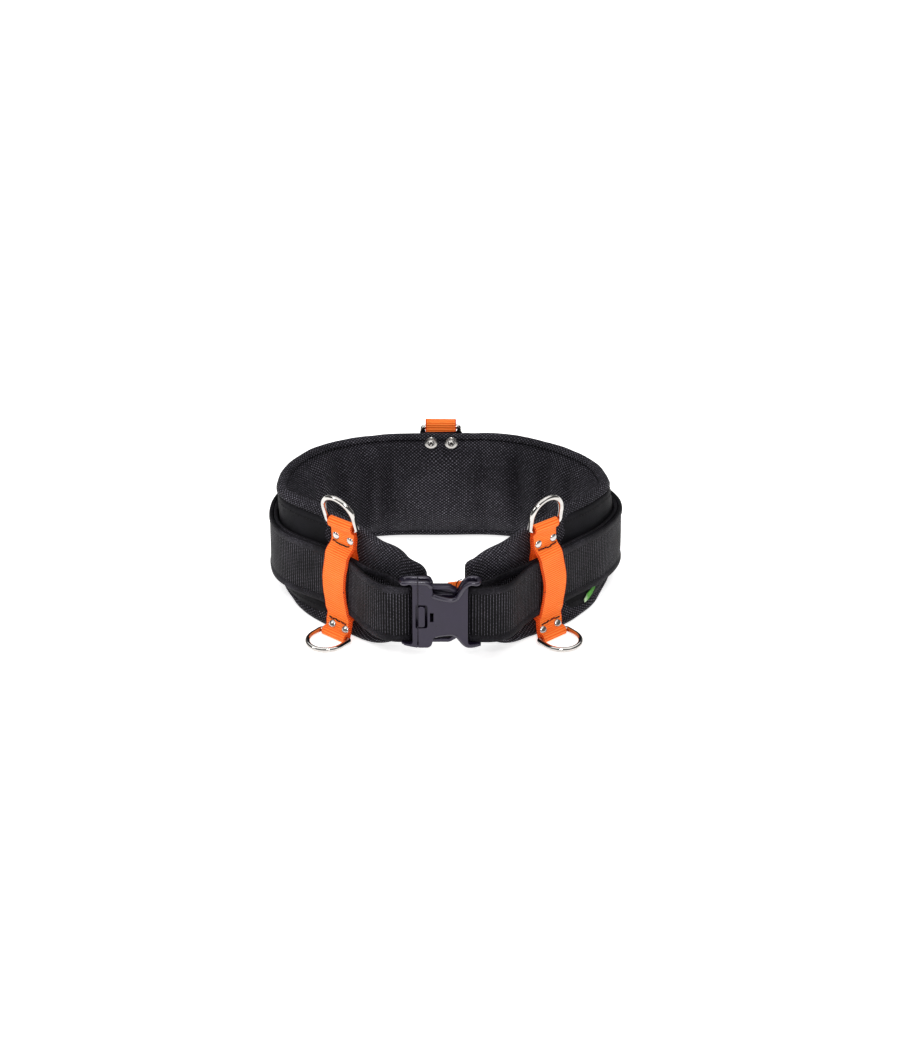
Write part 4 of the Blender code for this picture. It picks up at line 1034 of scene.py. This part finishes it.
def turned_piece(name, profile, middle, axis, sides=32):
    """A turned shape: a profile of radius and height in millimetres, spun about an axis."""
    none_selected()
    bpy.ops.mesh.primitive_circle_add(vertices=len(profile), radius=0.001, fill_type="NOTHING")
    piece = bpy.context.object
    piece.name = piece.data.name = name
    mesh = piece.data
    mesh.clear_geometry()
    points = [(radius * MM, 0.0, height * MM) for radius, height in profile]
    mesh.from_pydata(points, [(i, i + 1) for i in range(len(points) - 1)], [])
    bpy.ops.object.mode_set(mode="EDIT")
    bpy.ops.mesh.select_all(action="SELECT")
    bpy.ops.mesh.spin(steps=sides, angle=2 * math.pi, center=(0, 0, 0), axis=(0, 0, 1))
    bpy.ops.mesh.select_all(action="SELECT")
    bpy.ops.mesh.remove_doubles(threshold=0.00001)
    bpy.ops.mesh.normals_make_consistent(inside=False)
    bpy.ops.object.mode_set(mode="OBJECT")
    bpy.ops.object.shade_smooth_by_angle(angle=math.radians(40))
    turn = Vector((0, 0, 1)).rotation_difference(axis).to_matrix().to_4x4()
    mesh.transform(Matrix.Translation(middle) @ turn)
    return piece


def make_rivets():
    """Domed rivets through the straps; the two at the top of the back end inside in hollow washers."""
    head = (4 * STRAP_HALF + 3 * GAP) / 2 - 0.45
    for side in STRAPS:
        top = BACK_TOP if side == "back" else FRONT_TOP
        for label, line in (("top", top), ("foot", FRONT_FOOT)):
            spread, shift, row = RIVETS[side + "_" + label]
            for number, across in enumerate((shift - spread, shift + spread), 1):
                node = f"{side}_{label}_rivet_{number}"
                middle, axis = joined_frame(side, line, row, across)
                dome = [(0.0, head + 1.5), (1.1, head + 1.44), (2.1, head + 1.2), (2.9, head + 0.8),
                        (3.4, head + 0.35), (3.6, head), (1.3, head - 0.2), (1.3, 0.0)]
                if side == "back" and label == "top":
                    foot = -WASHER_DEPTH
                    tail = [(1.3, foot + 0.5), (4.9, foot + 0.4), (5.35, foot + 0.15), (5.4, foot - 0.15),
                            (5.0, foot - 0.4), (3.6, foot - 0.5), (2.9, foot - 0.55), (2.6, foot - 1.0),
                            (2.1, foot - 1.35), (1.6, foot - 1.3), (1.2, foot - 0.9), (1.1, foot + 2.0),
                            (0.0, foot + 2.0)]
                else:
                    foot = -head
                    tail = [(1.3, foot + 0.2), (2.9, foot), (2.85, foot - 0.5), (1.6, foot - 0.7), (0.0, foot - 0.75)]
                rivet = turned_piece(node + "_head", dome + tail, middle, axis)
                finished(rivet, "belt", RIVET_NICKEL, "nickel_plated_steel", node)


# ---------- buckle ----------

def rounded_outline(corners, steps=8):
    """Points of an outline through rows of x, z and corner radius."""
    outline = []
    for i, (x, z, radius) in enumerate(corners):
        here = Vector((x, z))
        back = (Vector(corners[i - 1][:2]) - here).normalized()
        ahead = (Vector(corners[(i + 1) % len(corners)][:2]) - here).normalized()
        half = back.angle(ahead) / 2
        if radius == 0:
            outline.append(here)
            continue
        centre = here + (back + ahead).normalized() * radius / math.sin(half)
        start = here + back * radius / math.tan(half) - centre
        sweep = start.angle_signed(here + ahead * radius / math.tan(half) - centre)
        for k in range(steps + 1):
            outline.append(centre + Matrix.Rotation(-sweep * k / steps, 2) @ start)
    return outline


def plate(name, outline, front, back, round_by):
    """A moulded plate standing between two depths: an outline filled, extruded and its rims rounded."""
    none_selected()
    bpy.ops.mesh.primitive_circle_add(vertices=len(outline), radius=0.01, fill_type="NGON")
    piece = bpy.context.object
    piece.name = piece.data.name = name
    for vert, (x, z) in zip(piece.data.vertices, outline):
        vert.co = place(x, back, WEB_MIDDLE + z)
    bpy.ops.object.mode_set(mode="EDIT")
    bpy.ops.mesh.select_all(action="SELECT")
    bpy.ops.mesh.extrude_region_move(TRANSFORM_OT_translate={"value": (0, (front - back) * MM, 0)})
    bpy.ops.mesh.select_all(action="SELECT")
    bpy.ops.mesh.normals_make_consistent(inside=False)
    bpy.ops.mesh.select_all(action="DESELECT")
    bpy.ops.object.mode_set(mode="OBJECT")
    if round_by:
        for edge in piece.data.edges:
            low, high = (piece.data.vertices[i].co for i in edge.vertices)
            edge.select = abs(low.y - high.y) < 1e-7
        bpy.ops.object.mode_set(mode="EDIT")
        bpy.ops.mesh.select_mode(type="EDGE")
        bpy.ops.mesh.bevel(offset=round_by * MM, segments=4, profile=0.5, clamp_overlap=False)
        bpy.ops.object.mode_set(mode="OBJECT")
    return piece


def cut(piece, tool):
    applied(piece, "BOOLEAN", operation="DIFFERENCE", solver="EXACT", object=tool)
    bpy.data.objects.remove(tool, do_unlink=True)


def moulded(piece):
    only(piece)
    bpy.ops.object.shade_smooth_by_angle(angle=math.radians(38))
    return piece


BUCKLE_FRONT = -4.3
BUCKLE_BACK = 10.7
RECESS = ((-23.5, 9.7, 1.2), (-13.9, 9.7, 2.2), (-13.9, -11.2, 2.2), (-23.5, -11.2, 1.2))


def round_bar(name, x, y, half, radius):
    """An upright bar that the webbing folds round."""
    return tube(name, [place(x, y, WEB_MIDDLE - half), place(x, y, WEB_MIDDLE + half)], radius, sides=20)


RAIL_FRONT = -4.2
RAIL_BACK = 6.0
RAIL_RADIUS = 1.85


def rail(line, radius, cut_start=False, cut_end=False):
    """A round bead along the edge of a moulding, with rounded ends where it isn't cut; its line is of x, y and z."""
    spots = evened(line, 0.35)
    walk = lengths_along(spots)
    from_end = np.full(len(spots), radius * 2.0)
    if not cut_start:
        from_end = np.minimum(from_end, walk)
    if not cut_end:
        from_end = np.minimum(from_end, walk[-1] - walk)
    taper = np.sqrt(np.clip(1 - (1 - np.minimum(from_end / radius, 1))**2, 0.04, 1))
    bead = tube("rail", [place(x, y, WEB_MIDDLE + z) for x, y, z in spots], radius, sides=16, taper=taper)
    polished = bead.data.attributes.new("polished", "FLOAT", "POINT")
    polished.data.foreach_set("value", np.ones(len(bead.data.vertices)))
    return bead


def two_rails(line, drop, cut_end=False):
    """A bead along a front edge, and a second one behind it and a little lower."""
    return [rail([(x, y, z - low) for x, z in line], RAIL_RADIUS, cut_end=cut_end)
            for y, low in ((RAIL_FRONT, 0.0), (RAIL_BACK, drop))]


def ear_rail(line, drop, bulge, cut=False):
    """One bead along the front edge to the tip of an ear, round the tip, and back along the rear edge."""
    (x, z), half = line[-1], (RAIL_BACK - RAIL_FRONT) / 2
    tip = [(x + bulge * math.sin(a), RAIL_FRONT + half - half * math.cos(a), z - drop / 2 + drop / 2 * math.cos(a))
           for a in np.radians((25, 50, 90, 130, 155))]
    return rail([(x, RAIL_FRONT, z) for x, z in line] + tip + [(x, RAIL_BACK, z - drop) for x, z in line[::-1]],
                RAIL_RADIUS, cut_start=cut, cut_end=cut)


def make_plug():
    """The plug: a frame round the webbing's fold, and two sprung arms."""
    seam = -22.05
    front = plate("plug", rounded_outline(
        ((-25.9, 27.9, 2.6), (-32.4, 27.9, 0.8), (-32.4, 29.8, 0.8), (seam, 29.8, 0), (seam, -29.0, 0),
         (-26.5, -28.2, 3.0), (-32.0, -26.8, 2.0), (-35.0, -24.6, 0.7), (-34.2, -23.6, 0.5), (-31.4, -25.2, 1.5),
         (-25.9, -26.3, 2.2))), BUCKLE_FRONT, 0.2, 0.4)
    cut(front, plate("recess", rounded_outline(RECESS), BUCKLE_FRONT - 1, 1.0, 0.0))
    back = plate("plug_back", rounded_outline(
        ((-24.6, 25.3, 2.6), (-33.2, 25.3, 1.3), (-33.2, 28.6, 1.5), (seam, 28.6, 0), (seam, -29.0, 0),
         (-26.5, -28.4, 3.0), (-34.2, -27.6, 1.2), (-34.2, -25.2, 1.1), (-24.6, -25.2, 2.6))), 4.6, BUCKLE_BACK, 0.8)
    cut(back, plate("recess", rounded_outline(RECESS), 3.0, 9.8, 0.0))
    core = plate("plug_core", rounded_outline(
        ((-24.2, 26.2, 2.0), (-33.2, 26.2, 0.3), (-33.2, 28.6, 0.3), (seam + 1.0, 28.6, 0), (seam + 1.0, -28.7, 0),
         (-25.5, -28.1, 0.3), (-31.5, -27.0, 0.3), (-31.5, -26.0, 0.3), (-24.2, -26.0, 1.0))), -1.0, 5.8, 0.0)
    cut(core, plate("recess", rounded_outline(RECESS), BUCKLE_FRONT - 1, 4.6, 0.0))
    pieces = [front, back, core, round_bar("plug_bar", LEFT_BAR_X, BAR_Y, 27.1, BAR_RADIUS)]
    pieces.append(ear_rail([(seam, 29.9), (-30.0, 29.7), (-32.4, 29.2)], 1.2, -2.4, True))
    foot = [(seam - 0.4, -28.8), (seam + 0.9, -28.8), (seam + 0.9, -26.5), (seam - 0.4, -26.5)]
    pieces.append(plate("seam_foot", foot, -3.7, 0.0, 0.0))
    pieces.append(plate("tongue", rounded_outline(
        ((-8.4, -15.0, 0.5), (8.0, -15.0, 2.0), (8.0, 16.0, 2.0), (-8.4, 16.0, 0.5))), 2.0, 4.4, 0.4))
    arm = ((-23.0, 24.3, 0), (3.6, 24.3, 6.0), (10.0, 20.4, 2.2), (8.6, 17.4, 0.8), (6.2, 18.0, 0.8),
           (3.4, 21.0, 3.0), (-23.0, 21.0, 0))
    for way, shift in ((1, 0.0), (-1, -1.8)):
        outline = rounded_outline([(x, z * way + shift, radius) for x, z, radius in arm])
        pieces.append(plate("arm", outline, -0.2, 6.4, 0.9))
    return moulded(joined("buckle_plug_moulding", pieces))


def make_socket():
    """The socket: a hollow waisted shell with rolled rails along its edges, and ears for the webbing."""
    seam = -21.2
    low_waist = ((13.2, -24.0, 4.0), (9.0, -17.2, 3.0), (-2.0, -16.6, 4.0), (-9.3, -20.5, 1.5))
    front = plate("socket", rounded_outline(
        ((seam, 29.8, 0), (-10.9, 29.8, 4.5), (-9.4, 18.5, 1.5), (4.6, 13.6, 7.0), (10.2, 15.6, 4.0),
         (16.6, 29.0, 4.0), (25.2, 29.0, 0.8), (25.2, 27.4, 0.7), (18.3, 27.4, 2.8),
         (18.3, -26.6, 2.8), (28.6, -25.4, 0.7), (28.8, -27.2, 0.8),
         (19.5, -29.2, 4.0), *low_waist, (-11.0, -29.0, 4.5), (seam, -29.0, 0))),
        BUCKLE_FRONT, 0.2, 0.4)
    back = plate("socket_back", rounded_outline(
        ((seam, 29.0, 0), (-10.9, 29.0, 4.5), (-9.4, 20.0, 1.5), (4.6, 16.4, 7.0), (10.2, 18.0, 4.0),
         (16.6, 27.8, 4.0), (25.8, 27.8, 1.2), (25.8, 25.2, 1.1), (17.0, 25.2, 2.6),
         (17.0, -25.2, 2.6), (28.2, -25.2, 1.2), (28.2, -28.2, 1.3),
         (19.5, -29.0, 4.0), *low_waist, (-11.0, -29.0, 4.5), (seam, -29.0, 0))),
        5.4, BUCKLE_BACK, 0.8)
    core = plate("socket_core", rounded_outline(
        ((seam + 0.6, 27.0, 0), (-13.8, 27.0, 2.2), (-11.6, 17.0, 2.0), (4.5, 12.0, 6.0), (9.6, 13.6, 3.0),
         (15.6, 26.8, 2.0), (25.6, 26.8, 0.2), (25.6, 26.3, 0.2), (16.6, 26.3, 2.0), (16.6, -26.3, 2.0),
         (25.4, -26.0, 0.2), (25.4, -26.9, 0.2), (16.2, -26.9, 2.0), (8.0, -15.4, 2.0), (-2.0, -14.8, 3.0),
         (-11.4, -18.8, 1.5), (-12.6, -28.7, 3.0), (seam + 0.6, -28.7, 0))), -1.0, 6.8, 0.0)
    for low, high in ((21.4, 26.2), (-27.2, -22.2)):
        cut(core, plate("channel", [(-23, low), (-7, low), (-7, high), (-23, high)], -0.6, 6.4, 0.0))
    slot = [(-12.0, -5.5), (-9.1, -5.5), (-9.1, 2.6), (-12.0, 2.6)]
    for shell in (front, core, back):
        cut(shell, plate("recess", rounded_outline(RECESS), BUCKLE_FRONT - 1, 9.6, 0.0))
        cut(shell, plate("slot", slot, BUCKLE_FRONT - 1, 9.6, 0.0))
    pieces = [front, back, core, round_bar("socket_bar", RIGHT_BAR_X, BAR_Y, 26.8, BAR_RADIUS)]
    pieces += two_rails([(-10.7, 24.4), (-11.5, 27.0), (-13.6, 29.0), (-17.5, 29.8), (seam, 29.9)], 1.2, True)
    lip = [(-10.4, 18.3), (-5.6, 16.4), (0.0, 14.9), (4.8, 14.2), (8.0, 14.9), (10.7, 17.6), (13.1, 22.0),
           (15.6, 26.0), (18.4, 28.3), (21.6, 29.2), (25.0, 28.8)]
    pieces.append(ear_rail(lip, 0.2, 2.3))
    low_lip = [(-8.6, -19.4), (-5.0, -18.0), (-1.0, -17.4), (8.2, -17.9), (11.0, -20.6), (14.0, -24.6), (17.5, -27.6),
               (21.0, -28.0), (27.6, -26.4)]
    pieces.append(rail([(x, BUCKLE_FRONT + 1.4, z) for x, z in low_lip], 1.6))
    return moulded(joined("buckle_socket_moulding", pieces))


def make_button():
    rows = ((-21.3, 8.2, 1.2), (-15.9, 8.2, 1.8), (-15.9, -10.4, 1.8), (-21.3, -10.4, 1.2))
    button = plate("release_button", rounded_outline(rows), BUCKLE_FRONT - 0.15, -0.55, 0.8)
    return moulded(button)


# ---------- small cloth pieces ----------

PATCH_HALF_WIDTH = 18.0
PATCH_FOOT = 74.0
PATCH_TOP = 99.4


def make_patch():
    """Black cloth behind the back strap, folded over at its edges."""
    line = plan_line(1.0)
    middle, _ = strap_seat("back")
    rows, uv = [], []
    for across in np.linspace(-PATCH_HALF_WIDTH, PATCH_HALF_WIDTH, 49):
        i = int(np.argmin(np.abs(line["x"] - (middle.x + across)) + (line["y"] < 150) * 1000.0))
        spots, coords = [], []
        for height in np.linspace(PATCH_FOOT, PATCH_TOP, 22):
            edge = min(PATCH_HALF_WIDTH - abs(across), PATCH_TOP - height, 1.5) / 1.5
            face = line["point"][i] + line["inward"][i] * (line["pad"][i] - GAP - 0.25 - 0.55 * edge**0.5)
            # The cloth dips between its two upper corners
            reach = np.clip((height - 88.0) / (PATCH_TOP - 88.0), 0, 1)
            dip = 3.4 * np.clip((15.0 - abs(across)) / 1.6, 0, 1)
            spots.append(place(*face, height - (dip + 1.4 * max(0.0, abs(across) - 15.2)) * reach))
            coords.append((across, height))
        rows.append(spots)
        uv.append(coords)
    patch = grid_piece("back_cloth_patch", np.array(rows), np.array(uv))
    applied(patch, "SOLIDIFY", thickness=0.6 * MM, offset=0.0)
    return patch


# Where the tag's middle is in plan, and its rows: place along it, and its lower and upper edge
TAG_NEAR = (118.0, 97.0)
TAG_ROWS = ((-8.0, 8.5, 11.5), (-3.0, 9.8, 14.2), (3.0, 12.2, 16.8), (8.0, 15.2, 18.0))


def make_tag():
    """Plain green ribbon sewn slanting low on the pad's right side."""
    at, total, point, normal, values, _, _ = pad_stations(1.0)
    start = at[int(np.argmin(np.linalg.norm(point - np.array(TAG_NEAR), axis=1)))]
    slant = np.array(TAG_ROWS)
    rows, uv = [], []
    for along in np.linspace(slant[0, 0], slant[-1, 0], 19):
        low, high = spline(slant[:, 0], slant[:, 1:], np.array([along]))[0]
        i = int(np.argmin(np.abs(at - (start - along))))
        flare, lean, bottom, top, _ = values[i]
        share = (along - slant[0, 0]) / (slant[-1, 0] - slant[0, 0])
        spots, coords = [], []
        for height in np.linspace(low, high, 7):
            depth = outer_face(height, bottom, top, flare, lean) - 0.75 - 0.15 * math.sin(height * 0.9 + along * 0.4)
            spots.append(place(*(point[i] + normal[i] * depth), height))
            coords.append((1 - share, height))
        rows.append(spots)
        uv.append(coords)
    tag = grid_piece("side_ribbon_tag", np.array(rows), np.array(uv))
    applied(tag, "SOLIDIFY", thickness=0.7 * MM, offset=0.0)
    return tag


# Corners of the tab in x and z: upper left, lower left, lower right and upper right
TAB_CORNERS = ((2.2, 64.4), (4.0, 47.0), (21.5, 52.0), (19.6, 66.6))
TAB_DEPTH = 18.0


def make_tab():
    """Folded orange webbing at the pad's right end."""
    columns, steps = 20, 12
    upper_left, lower_left, lower_right, upper_right = (np.array(spot) for spot in TAB_CORNERS)
    rows, uv = [], []
    for i in range(columns):
        u = i / (columns - 1)
        spots, coords = [], []
        for k in range(steps):
            v = k / (steps - 1)
            x, z = ((1 - u) * ((1 - v) * lower_left + v * upper_left)
                    + u * ((1 - v) * lower_right + v * upper_right))
            spots.append(place(x, TAB_DEPTH - 0.2 * math.sin(math.pi * v), z))
            coords.append((u * 18.0, v * 14.0 + 6.0))
        rows.append(spots)
        uv.append(coords)
    tab = grid_piece("orange_end_tab", np.array(rows), np.array(uv))
    applied(tab, "SOLIDIFY", thickness=1.2 * MM, offset=0.0)
    applied(tab, "BEVEL", width=0.3 * MM, segments=2, limit_method="ANGLE")
    return tab


def make_tab_thread():
    """A loose loop of the thread that the tab is sewn with."""
    line = evened([(13.6, 67.6), (11.0, 67.0), (9.3, 64.4), (9.0, 61.2), (10.0, 58.8), (11.8, 58.0)], 0.4)
    depths = 16.9 - 0.8 * np.sin(np.linspace(0, math.pi, len(line)))
    return tube("tab_thread_loop", [place(x, y, z) for (x, z), y in zip(line, depths)], 0.4, sides=8)


# ---------- putting it together ----------

pad = finished(make_pad(), "belt", AIR_MESH, "black_spacer_mesh", "comfort_pad")
panel, panel_seams = make_panel()
finished(panel, "belt", NYLON, "black_nylon_cloth", "pad_panel")
finished(panel_seams, "belt", THREAD, "black_nylon_cloth")
finished(make_webbing(), "belt", BELTING, "black_belt_webbing", "belt_webbing")
finished(make_patch(), "belt", NYLON, "black_nylon_cloth", "back_patch")
for side in STRAPS:
    finished(make_strap(side), "belt", ORANGE, "orange_webbing", side + "_ring_strap")
    finished(strap_stitching(side), "belt", THREAD, "black_nylon_cloth")
    for end in ("top", "foot"):
        node = f"{side}_{end}_ring"
        finished(make_ring(side, end), node, NICKEL, "nickel_plated_steel", node)
make_rivets()
finished(make_plug(), "belt", ACETAL, "black_acetal", "buckle_plug")
finished(make_socket(), "belt", ACETAL, "black_acetal", "buckle_socket")
finished(make_button(), "belt", ACETAL, "black_acetal", "buckle_button")
finished(make_tag(), "belt", GREEN, "green_webbing", "side_tag")
finished(make_tab(), "belt", ORANGE, "orange_webbing", "orange_tab")
finished(make_tab_thread(), "belt", THREAD, "black_nylon_cloth")


# ---------- floor, light and camera ----------

def studio():
    scene = bpy.context.scene
    scene.view_settings.view_transform = "Standard"
    scene.view_settings.look = "None"
    none_selected()
    # So wide that its edge stays out of sight in a low view
    bpy.ops.mesh.primitive_plane_add(size=120.0, location=(0, 0, 0))
    floor = bpy.context.object
    floor.name = "floor"
    acrylic, _, _ = new_material("lit_white_acrylic", 0.9, Base_Color=linear("fbfafa"), Specular_IOR_Level=0.1,
                                 Emission_Color=linear("ffffff"), Emission_Strength=0.62)
    floor.data.materials.append(acrylic)
    world = bpy.data.worlds.new("studio")
    world.use_nodes = True
    world.node_tree.nodes["Background"].inputs["Color"].default_value = (1.0, 1.0, 1.0, 1.0)
    world.node_tree.nodes["Background"].inputs["Strength"].default_value = 0.12
    scene.world = world
    # Each lamp's name, place in metres, power in watts and size in metres
    for name, spot, power, size in (("overhead", (0.0, 0.5, 2.4), 85.0, 4.4), ("front", (0.1, -2.1, 1.75), 22.0, 0.55),
                                    ("left", (-1.8, -0.4, 1.3), 8.0, 0.5)):
        lamp = bpy.data.lights.new(name, "AREA")
        lamp.energy = power
        lamp.size = size
        holder = linked(name, lamp)
        holder.location = spot
        if name != "overhead":
            holder.rotation_euler = (Vector((0, 0, 0.04)) - Vector(spot)).to_track_quat("-Z", "Y").to_euler()


# The photograph's width and height, the lens's focal length and the place of the buckle's middle, in pixels
PHOTO_WIDTH = 900
PHOTO_HEIGHT = 1050
FOCAL_PIXELS = 3142.5
BUCKLE_PIXEL = (445.0, 613.5)
CAMERA_ELEVATION = 27.0
CAMERA_DISTANCE = 2.5
SENSOR = 36.0


def photograph_camera():
    """Seen from the front and above, with the buckle at its place in the photograph."""
    elevation = math.radians(CAMERA_ELEVATION)
    aside = (BUCKLE_PIXEL[0] - PHOTO_WIDTH / 2) / FOCAL_PIXELS
    below = (BUCKLE_PIXEL[1] - PHOTO_HEIGHT / 2) / FOCAL_PIXELS
    ahead = Vector((0, math.cos(elevation), -math.sin(elevation)))
    up = Vector((0, math.sin(elevation), math.cos(elevation)))
    ray = ahead + Vector((1, 0, 0)) * aside - up * below
    lens = bpy.data.cameras.new("camera")
    lens.sensor_width = SENSOR
    lens.lens = FOCAL_PIXELS * SENSOR / PHOTO_HEIGHT
    camera = linked("camera", lens)
    camera.location = place(0, 0, WEB_MIDDLE) - ray * CAMERA_DISTANCE
    camera.rotation_euler = (math.pi / 2 - elevation, 0, 0)
    bpy.context.scene.camera = camera


studio()
photograph_camera()
